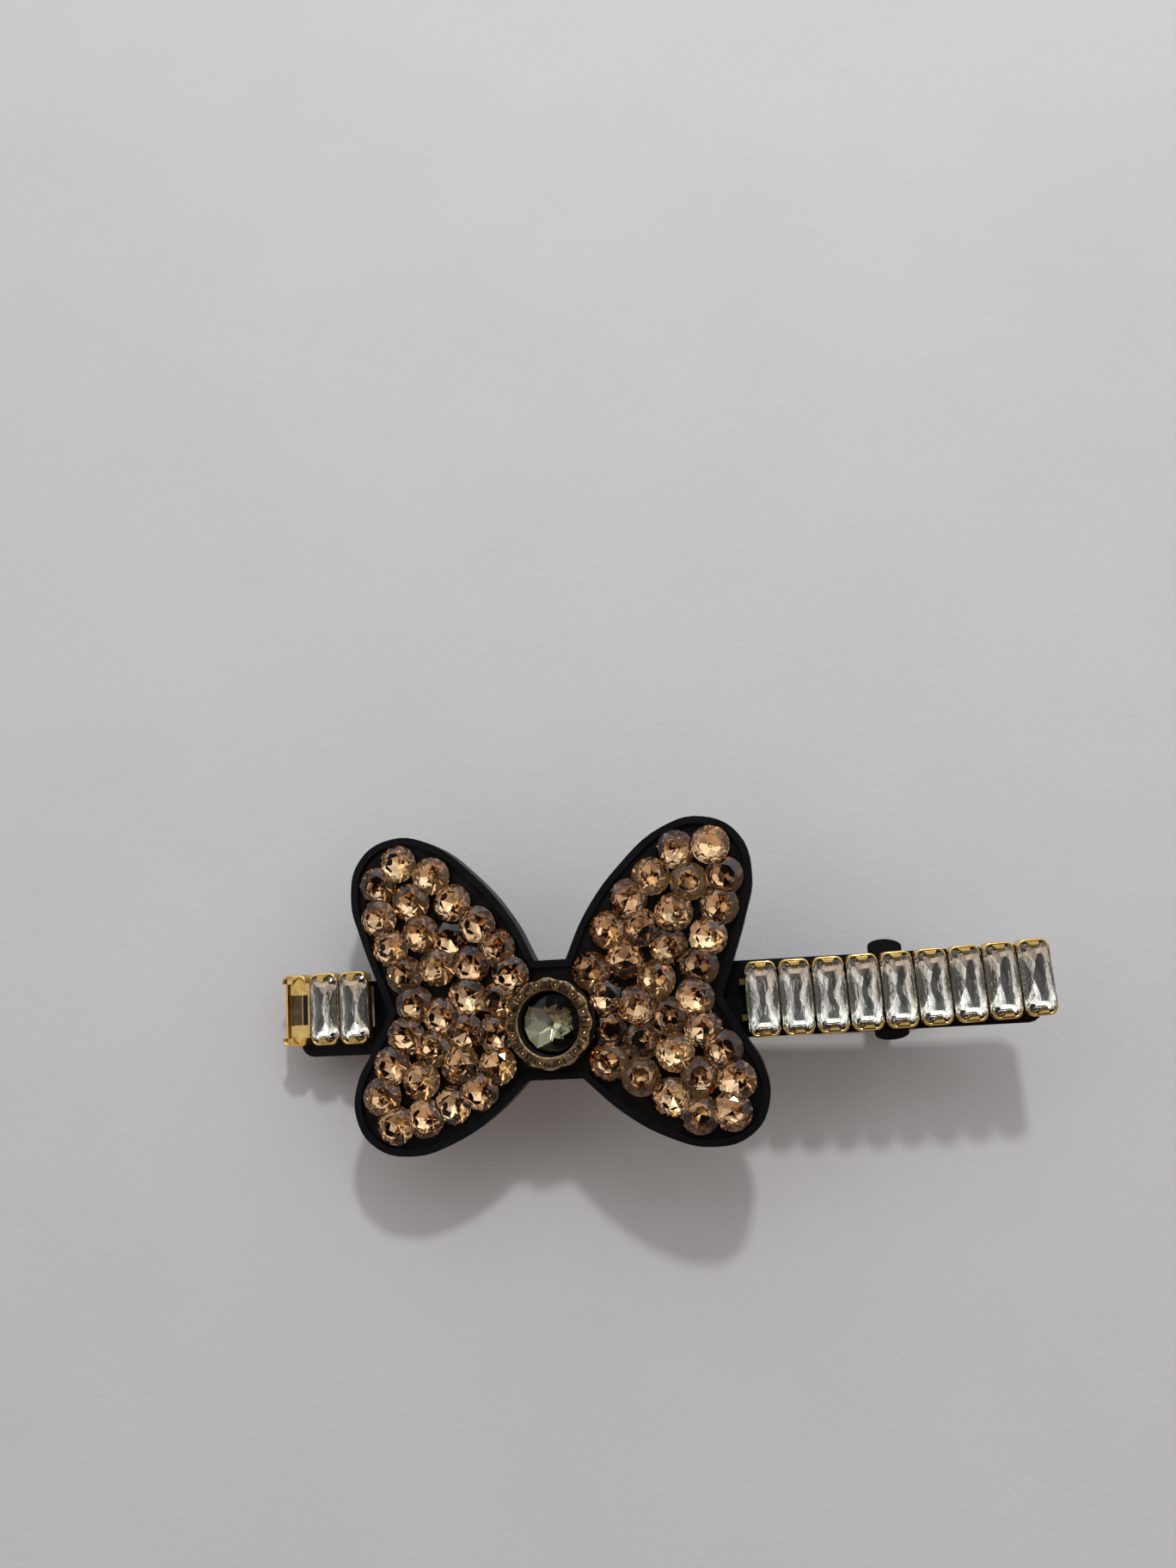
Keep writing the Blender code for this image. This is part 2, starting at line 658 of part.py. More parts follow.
def bow_adhesive(level):
    length, width = BOW_GLUE_SIZE
    ends = BOW_X - length / 2, BOW_X + length / 2
    line = [(x, bar_top(x) + GAP + BOW_GLUE) for x in steps(*ends, 8)]
    outline, _ = ribbon(line, BOW_GLUE)
    return add("bow_adhesive", plate("bow_adhesive", outline, width), level, STAND_XZ, GLUE)


def brilliant():
    """An eight-sided chaton round its girdle's middle, its pavilion cut short inside the resin."""
    profile = [
        (0, STONE_GIRDLE / 2 + STONE_CROWN),
        (STONE_RADIUS * STONE_TABLE, STONE_GIRDLE / 2 + STONE_CROWN),
        (STONE_RADIUS, STONE_GIRDLE / 2),
        (STONE_RADIUS, -STONE_GIRDLE / 2),
        (STONE_RADIUS * STONE_KEEL, -STONE_GIRDLE / 2 - STONE_PAVILION),
        (0, -STONE_GIRDLE / 2 - STONE_PAVILION),
    ]
    return turned("brilliant", profile, STONE_SIDES)


def scattered(places, rng):
    """One frame for each stone, tilted and raised a little, as stones set by hand in resin lie."""
    for x, y in places:
        lean = math.radians(rng.uniform(0.2, 1.0) * STONE_TILT)
        axis = Matrix.Rotation(rng.uniform(0, 2 * math.pi), 4, "Z") @ Vector((1, 0, 0))
        height = TRAY_FLOOR + STONE_HEIGHT + rng.uniform(-1, 1) * STONE_SPREAD
        spin = Matrix.Rotation(rng.uniform(0, math.pi / 4), 4, "Z")
        yield at(x * MM, y * MM, height) @ Matrix.Rotation(lean, 4, axis) @ spin


def wing_paving(bow, side, label, places):
    """Half of the tray's filling: black resin, and the chatons pressed into it."""
    name = f"{label}_wing_paving"
    bed = filled(bow_curve(name, -TRAY_RIM - 1.5 * GAP), BED_THICKNESS)
    wing = add(name, bed, bow, at(z=TRAY_FLOOR + GAP + BED_THICKNESS / 2), CHAMPAGNE)
    size = (WING_ROOM, 2 * WING_ROOM, WING_ROOM)
    half = box(f"{label}_half", size, (side * (WING_ROOM / 2 + GAP), 0, 0))
    boolean(wing, "INTERSECT", add(f"{label}_half", half, bow))
    stones = bmesh.new()
    for place in scattered(places, random.Random(SCATTER_SEEDS[label])):
        piece = STONE_MESH.copy()
        piece.transform(place)
        stones.from_mesh(piece)
        bpy.data.meshes.remove(piece)
    mesh = bpy.data.meshes.new(f"{label}_stones")
    stones.to_mesh(mesh)
    stones.free()
    boolean(wing, "UNION", add(f"{label}_stones", mesh, bow), itself=True)
    room = cylinder(f"{label}_centre_room", RING_OUTER + 2 * GAP, WING_ROOM, ROUND_SIDES)
    boolean(wing, "DIFFERENCE", add(f"{label}_centre_room", room, bow, at(RING_X / 2, CENTRE_Y)))
    return wing


def centre_setting(bow):
    """The bow's centre: a cup with one large stone, and the halo ring on the cup."""
    base = TRAY_FLOOR + GAP
    top = base + CUP_HEIGHT
    seat = top - SEAT_DEPTH
    centre = at(y=CENTRE_Y)
    cup = [
        (0, seat),
        (SEAT_RADIUS * SEAT_FLAT, seat),
        (SEAT_RADIUS, seat + SEAT_SLOPE),
        (SEAT_RADIUS, top),
        (CUP_RADIUS, top),
        (CUP_RADIUS, base),
        (0, base),
    ]
    add("centre_cup", turned("centre_cup", cup, ROUND_SIDES), bow, centre, BLACK)
    low = seat + SEAT_SLOPE + CENTRE_STONE_GIRDLE
    girdle = low + CENTRE_STONE_GIRDLE
    table = girdle + CENTRE_STONE_CROWN
    stone = [
        (0, table),
        (CENTRE_STONE_RADIUS * CENTRE_STONE_TABLE, table),
        (CENTRE_STONE_RADIUS, girdle),
        (CENTRE_STONE_RADIUS, low),
        (SEAT_RADIUS * SEAT_FLAT, seat + SEAT_SLOPE - GAP / 2),
        (SEAT_RADIUS * SEAT_FLAT - 2 * GAP, seat + GAP),
        (0, seat + GAP),
    ]
    mesh = turned("centre_stone", stone, CENTRE_STONE_SIDES)
    add("centre_stone", mesh, bow, centre, SMOKE)
    halo(bow, top + GAP)


def on_halo(number, height):
    """A frame on the bead circle, a twelfth of a turn for each number, with x pointing outwards."""
    turn = 2 * math.pi * number / BEADS
    x = RING_X + RING_OVAL * BEAD_CIRCLE * math.cos(turn)
    y = CENTRE_Y + BEAD_CIRCLE * math.sin(turn)
    return at(x, y, height) @ Matrix.Rotation(turn, 4, "Z")


def halo(bow, low):
    """A slightly oval ring with its beads, and a small stone between each two beads."""
    high = low + RING_THICKNESS
    band = [
        (RING_OUTER - RING_BEVEL, high),
        (RING_OUTER, high - RING_BEVEL),
        (RING_OUTER, low),
        (RING_INNER, low),
        (RING_INNER, high),
    ]
    band.append(band[0])
    mesh = welded(turned("halo_ring", band, ROUND_SIDES))
    mesh.transform(Matrix.Diagonal((RING_OVAL, 1, 1, 1)))
    ring = add("halo_ring", mesh, bow, at(RING_X, CENTRE_Y), BRONZE)
    beads = bmesh.new()
    for i in range(BEADS):
        place = on_halo(i + 0.5, high + BEAD_RISE)
        bmesh.ops.create_uvsphere(beads, u_segments=8, v_segments=5, radius=BEAD_RADIUS, matrix=place)
    mesh = bpy.data.meshes.new("beads")
    beads.to_mesh(mesh)
    beads.free()
    boolean(ring, "UNION", add("beads", mesh, bow))
    length, width, height = HALO_STONE_SIZE
    small = tapered("halo_stone", length, width, height, HALO_STONE_BEVEL)
    for i in range(BEADS):
        place = on_halo(i, high + GAP + height / 2)
        add(f"halo_stone_{i + 1:02d}", small.copy(), bow, place, CHAMPAGNE)


def tapered(name, length, width, height, bevel):
    """A block whose top is smaller by a bevel on all sides."""
    mesh = box(name, (length, width, height))
    for vertex in mesh.vertices:
        if vertex.co.z > 0:
            vertex.co.x -= math.copysign(bevel, vertex.co.x)
            vertex.co.y -= math.copysign(bevel, vertex.co.y)
    return mesh


# ------------------------------------------------------------------------------- the cup chain


def chain_cup_mesh(link):
    """One gold cup: low along its sides, high at its ends, with a hole, two T claws and two links."""
    length, width = CUP_SIZE
    shell = plate("cup_shell", rounded_rectangle(length, width, CUP_CORNER), CHAIN_CUP_HEIGHT)
    cup = add("cup_shell", shell, None, at(z=CHAIN_CUP_HEIGHT / 2))
    inside = rounded_rectangle(length - 2 * CUP_WALL, width - 2 * CUP_WALL, CUP_CORNER - CUP_WALL)
    pocket = plate("pocket", inside, CHAIN_CUP_HEIGHT)
    tools = [
        add("pocket", pocket, None, at(z=CHAIN_CUP_HEIGHT / 2 + CHAIN_CUP_FLOOR)),
        add("floor_hole", box("floor_hole", (*FLOOR_HOLE, CUT_MARGIN)), None),
    ]
    room = box("side_room", (length + CUT_MARGIN, width - 2 * CUP_WALL - CLAW_INSET, CUT_MARGIN))
    tools.append(add("side_room", room, None, at(z=CUP_SIDE_HEIGHT + CUT_MARGIN / 2)))
    for tool in tools:
        boolean(cup, "DIFFERENCE", tool)
    joined = []
    claw_top = CHAIN_CUP_HEIGHT + CLAW_RISE
    stem_height = CLAW_RISE + CLAW_OVERLAP
    for side in (-1, 1):
        stem = box("stem", (CLAW_WIDTH, CLAW_THICKNESS, stem_height))
        y = side * (width / 2 - CLAW_THICKNESS / 2 - CLAW_INSET)
        joined.append(add("stem", stem, None, at(0, y, claw_top - stem_height / 2)))
        head = box("head", (*CLAW_HEAD, CLAW_THICKNESS))
        y = side * (width / 2 - CLAW_HEAD[1] / 2 - 2 * CLAW_INSET)
        head_z = claw_top + CLAW_INSET - CLAW_THICKNESS / 2
        joined.append(add("head", head, None, at(0, y, head_z)))
        bridge = box("link", (link + CUP_WALL / 2, LINK_SIZE[0], LINK_SIZE[1]))
        x = -length / 2 - (link - CUP_WALL / 2) / 2
        joined.append(add("link", bridge, None, at(x, side * LINK_SPREAD, LINK_HEIGHT)))
    for tool in joined:
        boolean(cup, "UNION", tool)
    mesh = baked(cup)
    for tool in tools + joined:
        bpy.data.objects.remove(tool)
    return mesh


def baguette_mesh():
    """A step-cut stone: a flat table, bevelled sides, and a ridge underneath."""
    width = CUP_SIZE[1] - 2 * CUP_WALL - 2 * GAP
    mesh = box("baguette", (BAGUETTE_WIDTH, width, 1))
    shape = bmesh.new()
    shape.from_mesh(mesh)
    girdle = BAGUETTE_PAVILION
    for vertex in shape.verts:
        vertex.co.z = girdle + BAGUETTE_GIRDLE if vertex.co.z > 0 else girdle
    top = max(shape.faces, key=lambda face: face.calc_center_median().z)
    bottom = min(shape.faces, key=lambda face: face.calc_center_median().z)
    ridge = BAGUETTE_WIDTH * BAGUETTE_RIDGE
    steps_of_cut = ((top, BAGUETTE_BEVEL, BAGUETTE_CROWN), (bottom, ridge, -BAGUETTE_PAVILION))
    for face, inset, height in steps_of_cut:
        bmesh.ops.inset_region(shape, faces=[face], thickness=inset, use_even_offset=True)
        bmesh.ops.translate(shape, verts=face.verts, vec=(0, 0, height))
    shape.to_mesh(mesh)
    shape.free()
    return mesh


def right_chain_places():
    """Frames of the right chain's cups, which follow a line that bends a little across the bar."""
    first, last = (math.radians(angle) for angle in RIGHT_CHAIN_HEADINGS)
    x = RIGHT_CHAIN_START
    y = RIGHT_CHAIN_Y
    places = []
    for i in range(RIGHT_CHAIN_CUPS):
        heading = first + (last - first) * i / (RIGHT_CHAIN_CUPS - 1)
        x += CUP_PITCH / 2 * math.cos(heading)
        y += CUP_PITCH / 2 * math.sin(heading)
        places.append(on_bar(x, y, CHAIN_LIFT, heading))
        x += CUP_PITCH / 2 * math.cos(heading)
        y += CUP_PITCH / 2 * math.sin(heading)
    return places


def left_chain_places():
    """Frames of the left chain's cups from its right end; the last one droops past the bar's end."""
    heading = math.radians(LEFT_CHAIN_HEADING)
    places = []
    for i in range(LEFT_CHAIN_CUPS - 1):
        x = LEFT_CHAIN_END - (i + 0.5) * CUP_PITCH
        places.append(on_bar(x, LEFT_CHAIN_Y, CHAIN_LIFT, heading))
    droop = Matrix.Rotation(-math.radians(EMPTY_CUP_DROOP), 4, "Y")
    places.append(places[-1] @ at(-CUP_PITCH / 2) @ droop @ at(-CUP_PITCH / 2))
    return places


def chain(level):
    cup = chain_cup_mesh(LINK_SHORT)
    first_cup = chain_cup_mesh(LINK_CUT)
    stone = baguette_mesh()
    seat = at(z=CHAIN_CUP_FLOOR + GAP)
    places = [*reversed(left_chain_places()), *right_chain_places()]
    for number, place in enumerate(places, start=1):
        mesh = first_cup if number == LEFT_CHAIN_CUPS + 1 else cup
        add(f"chain_cup_{number:02d}", mesh.copy(), level, place, GOLD)
        if number > 1:
            add(f"baguette_{number:02d}", stone.copy(), level, place @ seat, CLEAR)


def chain_adhesive(level, label, start, end, y):
    line = [(x, bar_top(x) + GAP + CHAIN_GLUE) for x in steps(start, end, 8)]
    outline, _ = ribbon(line, CHAIN_GLUE)
    mesh = plate(f"chain_adhesive_{label}", outline, CHAIN_GLUE_WIDTH)
    return add(f"chain_adhesive_{label}", mesh, level, at(y=y) @ STAND_XZ, GLUE)


# --------------------------------------------------------------------------- the whole hair clip


def lay_down(level):
    """Turns the level frame so that heel and lip touch z = 0, and centres the clip's box over it."""
    _, under = ribbon(tongue_line(), TONGUE_THICKNESS)
    heel, lip = under[0], under[-1]
    tilt = math.atan2(heel[1] - lip[1], lip[0] - heel[0])
    level.rotation_euler = (0, -tilt, 0)
    bpy.context.view_layer.update()
    graph = bpy.context.evaluated_depsgraph_get()
    corners = []
    for obj in PARTS.objects:
        if obj.type == "MESH":
            solid = obj.evaluated_get(graph)
            corners += [solid.matrix_world @ vertex.co for vertex in solid.data.vertices]
    low = [min(corner[i] for corner in corners) for i in range(3)]
    high = [max(corner[i] for corner in corners) for i in range(3)]
    level.location = (-(low[0] + high[0]) / 2, -(low[1] + high[1]) / 2, -low[2])


def main():
    level = empty("level_frame")
    swing = empty("bar_swing", level, at(PIN_X, 0, PIN_Z))
    bar = empty("bar_frame", swing, at(-PIN_X, 0, -PIN_Z))
    tongue(level)
    top_bar(bar)
    hinge_pin(bar)
    tension_leaf(bar)
    catch_base(bar)
    catch_arm(bar, -1, "front")
    catch_arm(bar, 1, "back")
    bow = empty("bow_frame", bar, on_bar(BOW_X, 0, 2 * GAP + BOW_GLUE))
    bow_adhesive(bar)
    bow_tray(bow)
    wing_paving(bow, -1, "left", LEFT_STONES)
    wing_paving(bow, 1, "right", RIGHT_STONES)
    centre_setting(bow)
    chain(bar)
    left_start = LEFT_CHAIN_END - (LEFT_CHAIN_CUPS - 1) * CUP_PITCH
    chain_adhesive(bar, "left", left_start, LEFT_CHAIN_END - GAP, LEFT_CHAIN_Y)
    right_end = RIGHT_CHAIN_START + (RIGHT_CHAIN_CUPS - 0.5) * CUP_PITCH
    chain_adhesive(bar, "right", RIGHT_CHAIN_START + GAP, right_end, 0)
    lay_down(level)


empty_scene()
PARTS = collection("rhinestone_hair_clip")
CUTTERS = collection("cutters")
STONE_MESH = brilliant()
main()
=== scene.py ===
"""The looks of the rhinestone hair clip: cut stones over foil, gold cups, black lacquer, light."""

import math
from collections import namedtuple

import bmesh
import bpy
from mathutils import Matrix, Vector
from mathutils.geometry import delaunay_2d_cdt
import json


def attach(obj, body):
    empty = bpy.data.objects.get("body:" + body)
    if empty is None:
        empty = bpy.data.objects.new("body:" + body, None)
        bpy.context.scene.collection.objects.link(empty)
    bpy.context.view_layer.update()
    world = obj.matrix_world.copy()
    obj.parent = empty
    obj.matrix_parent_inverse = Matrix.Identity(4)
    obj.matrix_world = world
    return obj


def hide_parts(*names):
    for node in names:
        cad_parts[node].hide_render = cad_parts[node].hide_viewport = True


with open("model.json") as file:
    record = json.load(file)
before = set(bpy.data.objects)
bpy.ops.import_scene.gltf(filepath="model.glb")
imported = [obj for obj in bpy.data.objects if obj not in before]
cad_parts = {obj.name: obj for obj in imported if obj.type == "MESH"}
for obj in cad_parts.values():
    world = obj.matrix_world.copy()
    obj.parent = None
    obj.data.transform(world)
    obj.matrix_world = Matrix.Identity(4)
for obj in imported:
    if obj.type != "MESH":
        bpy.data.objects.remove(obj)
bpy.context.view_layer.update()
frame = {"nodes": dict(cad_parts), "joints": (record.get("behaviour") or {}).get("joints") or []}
MM = 0.001
ALONG = Vector((1, 0, 0))  # the way that the bar runs

UP = 0.9  # a side looks up if its normal's height is over this
ALIKE = 0.03  # how far two sizes that count as the same may differ, as a share
Side = namedtuple("Side", "centre normal corners area")

# Angles between faces
FLAT = math.radians(0.5)  # less than this is one flat side
CAD_FLAT = math.radians(0.3)  # the same, where the sides of a CAD node are looked up
SHARP = math.radians(40)  # more than this is an edge

# Rounding of edges
RIM_ROUND = 0.2 * MM
METAL_ROUND = 0.14 * MM

# Round chatons of the wings, in mm
SEAT_RADIUS = 2.0  # of the CAD's stones, whose tables mark the places
STONE_RADIUS = 2.06
STONE_TABLE = 0.58  # table radius over stone radius
STONE_CROWN = 0.75
STONE_GIRDLE = 0.1
STONE_PAVILIONS = (1.25, 1.45, 1.3, 1.5)  # depths, taken in turn
STONE_KEEL = 0.55  # radius at which the lower facets break, over stone radius
FOLD = 8  # main facets round a stone

# Black resin round the chatons, in mm over the tray's floor
BED = (0.1, 1.25)
WELL_RADIUS = 2.02  # of the hole in it for a stone
WELL_SIDES = 20

# Centre stone, its cup and the halo, in mm over the cup's underside
CENTRE_RADIUS = 3.1
CENTRE_GIRDLE = 1.45
CENTRE_CROWN = 0.55
CENTRE_PAVILION = 0.7
CENTRE_TABLE = 0.04  # table radius over stone radius: the crown comes to a point
CENTRE_TURN = math.radians(9)
CUP_INNER = 3.3
CUP_OUTER = 4.6
CUP_TOP = 2.5
CUP_FLOOR = 0.1
CUP_HOLLOW = 0.3  # bevel between its floor and its wall
CUP_LIP_IN = 0.1
CUP_LIP_OUT = 0.15
CUP_SIDES = 64
RING_X = -0.2
RING_OVAL = 0.96
RING_INNER = 3.45
RING_OUTER = 4.68
RING_SCALLOP = 0.1
RING_LOW = 2.6
RING_HIGH = 3.15
RING_CHAMFER_IN = 0.12
RING_CHAMFER_OUT = 0.2
RING_STEPS = 12  # corners round the ring for each bead
BEADS = 12
BEAD_CIRCLE = 4.1
BEAD_SIDES = 20
BEAD_PROFILE = (  # (radius, height) in mm over the ring: a bead with a groove round its top
    (0.01, 0.36),
    (0.13, 0.3),
    (0.2, 0.1),
    (0.28, 0.1),
    (0.34, 0.38),
    (0.44, 0.38),
    (0.5, 0.2),
    (0.5, -0.2),
    (0.01, -0.2),
)

# Baguettes, in mm under their tables
BAGUETTE_HALF = (1.65, 3.5)
BAGUETTE_CLIP = 0.35  # cut corners
BAGUETTE_GIRDLE = (-0.6, -0.68)
BAGUETTE_CROWN = (  # a quarter of the corners of its upper facets
    (0.5, 2.4, 0),
    (0.75, 0.9, -0.02),
    (1.2, 1.6, -0.17),
    (0.95, 2.95, -0.2),
    (1.45, 0.5, -0.4),
    (1.42, 2.7, -0.42),
)
BAGUETTE_DEPTH = 0.42
BAGUETTE_ARCH = (1.35, 2.2)  # how full its underside is across and along: 1 is a roof
BAGUETTE_ROWS = (  # distance from the middle, and how far along the lower facets' corners lie
    (0.0, (1.5, 2.9)),
    (0.3, (0.3, 2.2)),
    (0.62, (1.3, 2.7)),
    (0.9, (0.5, 2.1)),
    (1.15, (1.4, 2.9)),
    (1.38, (0.3, 2.1)),
)

# Gold cups of the chains, in mm over their undersides
CHAIN_CUP = (3.1, 7.8)
CHAIN_CUP_CORNER = 0.75
CHAIN_CUP_SHEET = 0.22
CHAIN_CUP_BASE = 0.35
BASE_INSET = (0.1, 0.4)  # across and along
SIDE_INSET = 0.45  # of the long walls' ends
CHAIN_CUP_SIDE = (0.02, 0.95)  # the low long walls
CHAIN_CUP_END = (0.01, 1.6)  # the high end walls
CHAIN_CUP_REACH = 0.9  # how far the end walls turn along the sides
CHAIN_CUP_LEDGE = (0.3, 0.62)  # on which the stone's ends rest
LEDGE_START = 1.7  # from the cup's middle
LEDGE_INSET = (0.2, 0.25)
LIP_RADIUS = 0.15
TABLE_OVER_CUP = 2.2
CLAW_STATIONS = (  # half width, distance from the middle, underside, top
    (0.7, 3.72, 1.45, 1.7),
    (0.48, 3.52, 1.85, 2.1),
    (0.38, 3.32, 2.15, 2.36),
    (0.3, 2.95, 2.2, 2.38),
)
LINK_PLACE = (1.55, 2.15)  # the two tabs that join a cup to the one before it
LINK_HEIGHT = (0.3, 0.7)
LINK_ROOT = 0.1  # how deep they start in the cup
LINK = 0.25  # how far they reach
LOOSE_LINK = 0.7  # and on the cup at which the chain was cut
CUT_CUP = "chain_cup_04"
# Painted shade on the empty cup's floor: a brown patch for its gold floor in shade, and a black
# one for the deep shade along one side
CUP_SHADE_HALF = 1.65
CUP_SHADE_HEIGHT = (0.3, 0.42)
CUP_SHADE_BROWN = (-1.1, 0.1)  # across the empty cup
CUP_SHADE_BLACK = (0.3, 1.05)

# Room, window and floor, in metres and watts
ROOM_LIGHT = 2.05
ROOM_WARM = (0.27, 0.21, 0.17)
ROOM_GREY = (0.46, 0.44, 0.43)
ROOM_DAY = (0.93, 0.95, 0.98)
BACKDROP = (0.47, 0.465, 0.475)
TO_THE_DAY = (0.06, 0.8, 0.6)
WINDOW_PLACE = (0.06, 0.345, 0.322)
WINDOW_SIZE = (0.036, 0.026)
WINDOW_POWER = 0.86
WINDOW_COLOUR = (0.96, 0.985, 1.0)
FLOOR_HALF = 0.8

# Camera, in the bar's own level frame: place and lens in mm, turns in radians
CAMERA_PLACE = (10.34, 4.81, 125.47)
CAMERA_TURN = (0.144, 0.136, -0.057)
CAMERA_LENS = 26.64
CAMERA_SENSOR = 36.0

# ------------------------------------------------------------------------------- shader wrapper


class Value:
    """A socket of a node tree, on which arithmetic adds Math nodes."""

    def __init__(self, tree, socket):
        self.tree = tree
        self.socket = socket

    def math(self, operation, *values):
        node = self.tree.nodes.new("ShaderNodeMath")
        node.operation = operation
        for slot, value in zip(node.inputs, values):
            connect(self.tree, slot, value)
        return Value(self.tree, node.outputs[0])

    def __add__(self, other):
        return self.math("ADD", self, other)

    def __rsub__(self, other):
        return self.math("SUBTRACT", other, self)

    def __mul__(self, other):
        return self.math("MULTIPLY", self, other)

    __radd__ = __add__
    __rmul__ = __mul__

    def fraction(self):
        return self.math("FRACT", self)


def connect(tree, slot, value):
    if isinstance(value, Value):
        tree.links.new(value.socket, slot)
    else:
        slot.default_value = value


class Nodes:
    """A node tree, and the one method that adds its nodes."""

    def __init__(self, tree):
        self.tree = tree

    def node(self, kind, settings=None, output=0, **values):
        """A node of that type: its settings first, then its inputs, by name with _ for a space.

        What comes back is its output of that number or name.
        """
        node = self.tree.nodes.new("ShaderNode" + kind)
        for key, value in (settings or {}).items():
            if key == "stops":
                set_stops(node.color_ramp, value)
            else:
                setattr(node, key, value)
        for key, value in values.items():
            connect(self.tree, find(node, key), value)
        return Value(self.tree, node.outputs[output])

    def ramp(self, value, *stops):
        return self.node("ValToRGB", {"stops": stops}, Fac=value)

    def mix(self, share, first, second):
        """One colour or the other, by a share from 0 to 1. A Mix node's colours go by number."""
        settings = {"data_type": "RGBA"}
        return self.node("Mix", settings, output=2, in0=share, in6=first, in7=second)

    def vector(self, operation, first, second):
        return self.node("VectorMath", {"operation": operation}, in0=first, in1=second)


def find(node, key):
    """An input of a node by its number, as in0, or by its name."""
    if key.startswith("in") and key[2:].isdigit():
        return node.inputs[int(key[2:])]
    return node.inputs[key.replace("_", " ")]


def set_stops(ramp, stops):
    while len(ramp.elements) < len(stops):
        ramp.elements.new(0.5)
    for element, (place, colour) in zip(ramp.elements, stops):
        element.position = place
        element.color = (*colour, 1.0) if isinstance(colour, tuple) else (colour,) * 3 + (1.0,)


class Finish(Nodes):
    """One material of the clip, for one of its material slots."""

    def __init__(self, name, slot=None):
        self.material = bpy.data.materials.new(name)
        self.material.use_nodes = True
        self.slot = slot
        super().__init__(self.material.node_tree)
        self.shader = self.tree.nodes["Principled BSDF"]

    def place(self, stretch=(1.0, 1.0, 1.0)):
        """Position on the clip in millimetres, stretched along an axis by a number under 1."""
        scale = tuple(share / MM for share in stretch)
        return self.vector("MULTIPLY", self.node("TexCoord", output="Object"), scale)

    def noise(self, scale, detail=3.0, rough=0.5, vector=None):
        vector = vector or self.place()
        return self.node("TexNoise", Vector=vector, Scale=scale, Detail=detail, Roughness=rough)

    def island(self):
        """A random number from 0 to 1 for each separate stone."""
        return self.node("NewGeometry", output="Random Per Island")

    def bump(self, height, distance, strength=1.0):
        return self.node("Bump", Height=height, Distance=distance, Strength=strength)

    def set(self, **values):
        for key, value in values.items():
            connect(self.tree, find(self.shader, key), value)
        return self


def rgb(red, green, blue):
    return (red, green, blue, 1.0)


# ------------------------------------------------------------------------------------ materials


def black_lacquer():
    """Satin black enamel: a slight orange peel, fine dust, and patches rubbed duller."""
    finish = Finish("black_lacquer", "black_lacquer")
    peel = finish.noise(1.6, 4.0)
    dust = finish.ramp(finish.noise(7.0, 6.0, 0.7), (0.60, 0.0), (0.78, 1.0))
    rubbed = finish.ramp(finish.noise(0.35, 3.0), (0.42, 0.0), (0.72, 1.0))
    return finish.set(
        Base_Color=finish.mix(dust * 0.2, rgb(0.003, 0.003, 0.004), rgb(0.06, 0.058, 0.056)),
        Roughness=0.38 + rubbed * 0.14 + dust * 0.2,
        Specular_IOR_Level=0.16,
        Normal=finish.bump(peel, 0.00006, 0.6),
    )


def dipped_black():
    """The soft black dip over the catch's spring arms and finger pads."""
    finish = Finish("dipped_black", "black_lacquer")
    skin = finish.noise(0.9, 3.0)
    return finish.set(
        Base_Color=finish.mix(skin, rgb(0.0015, 0.0015, 0.002), rgb(0.004, 0.004, 0.0045)),
        Roughness=0.5 + skin * 0.15,
        Specular_IOR_Level=0.02,
        Normal=finish.bump(skin, 0.0001, 0.4),
    )


def black_resin():
    """The black resin that holds the stones: poured, glossy and uneven."""
    finish = Finish("black_resin", "champagne_paving")
    pool = finish.noise(0.35, 2.0)
    return finish.set(
        Base_Color=finish.mix(pool, rgb(0.002, 0.0015, 0.0015), rgb(0.007, 0.005, 0.004)),
        Roughness=0.22 + pool * 0.2,
        Specular_IOR_Level=0.25,
        Normal=finish.bump(pool, 0.0004, 0.5),
    )


def gold_plate():
    """Bright gold plating on stamped brass: browner where it is worn, with stamping ripples."""
    finish = Finish("gold_plate", "gold_cup")
    patch = finish.noise(0.7, 2.0, 0.5)
    worn = finish.ramp(finish.noise(1.1, 3.0, 0.55), (0.5, 0.0), (0.72, 1.0))
    plating = finish.mix(patch, rgb(0.72, 0.45, 0.12), rgb(0.94, 0.72, 0.30))
    return finish.set(
        Base_Color=finish.mix(worn * 0.55, plating, rgb(0.34, 0.16, 0.045)),
        Metallic=1.0,
        Roughness=0.23 + worn * 0.15,
        Normal=finish.bump(finish.noise(1.2, 1.0), 0.00006, 0.5),
    )


def bronze_plate():
    """Dark bronze plating: brown in its hollows and rubbed lighter on top."""
    finish = Finish("bronze_plate", "bronze_ring")
    patch = finish.noise(1.6, 5.0, 0.65)
    hollow = (0.3, (0.09, 0.05, 0.023))
    plain = (0.48, (0.36, 0.24, 0.12))
    rubbed = (0.66, (0.66, 0.49, 0.27))
    return finish.set(
        Base_Color=finish.ramp(patch, hollow, plain, rubbed),
        Metallic=0.9,
        Roughness=0.2 + (1 - patch) * 0.25,
        Normal=finish.bump(finish.noise(4.0, 2.0), 0.00008, 0.7),
    )


def spring_steel():
    """Dark nickel on spring steel, with fine rolling lines along the strip."""
    finish = Finish("spring_steel", "spring_steel")
    lines = finish.noise(2.0, 4.0, 0.6, finish.place((0.15, 6.0, 6.0)))
    return finish.set(
        Base_Color=finish.mix(lines, rgb(0.16, 0.16, 0.165), rgb(0.46, 0.45, 0.45)),
        Metallic=1.0,
        Roughness=0.24 + lines * 0.2,
        Normal=finish.bump(lines, 0.00004, 0.5),
    )


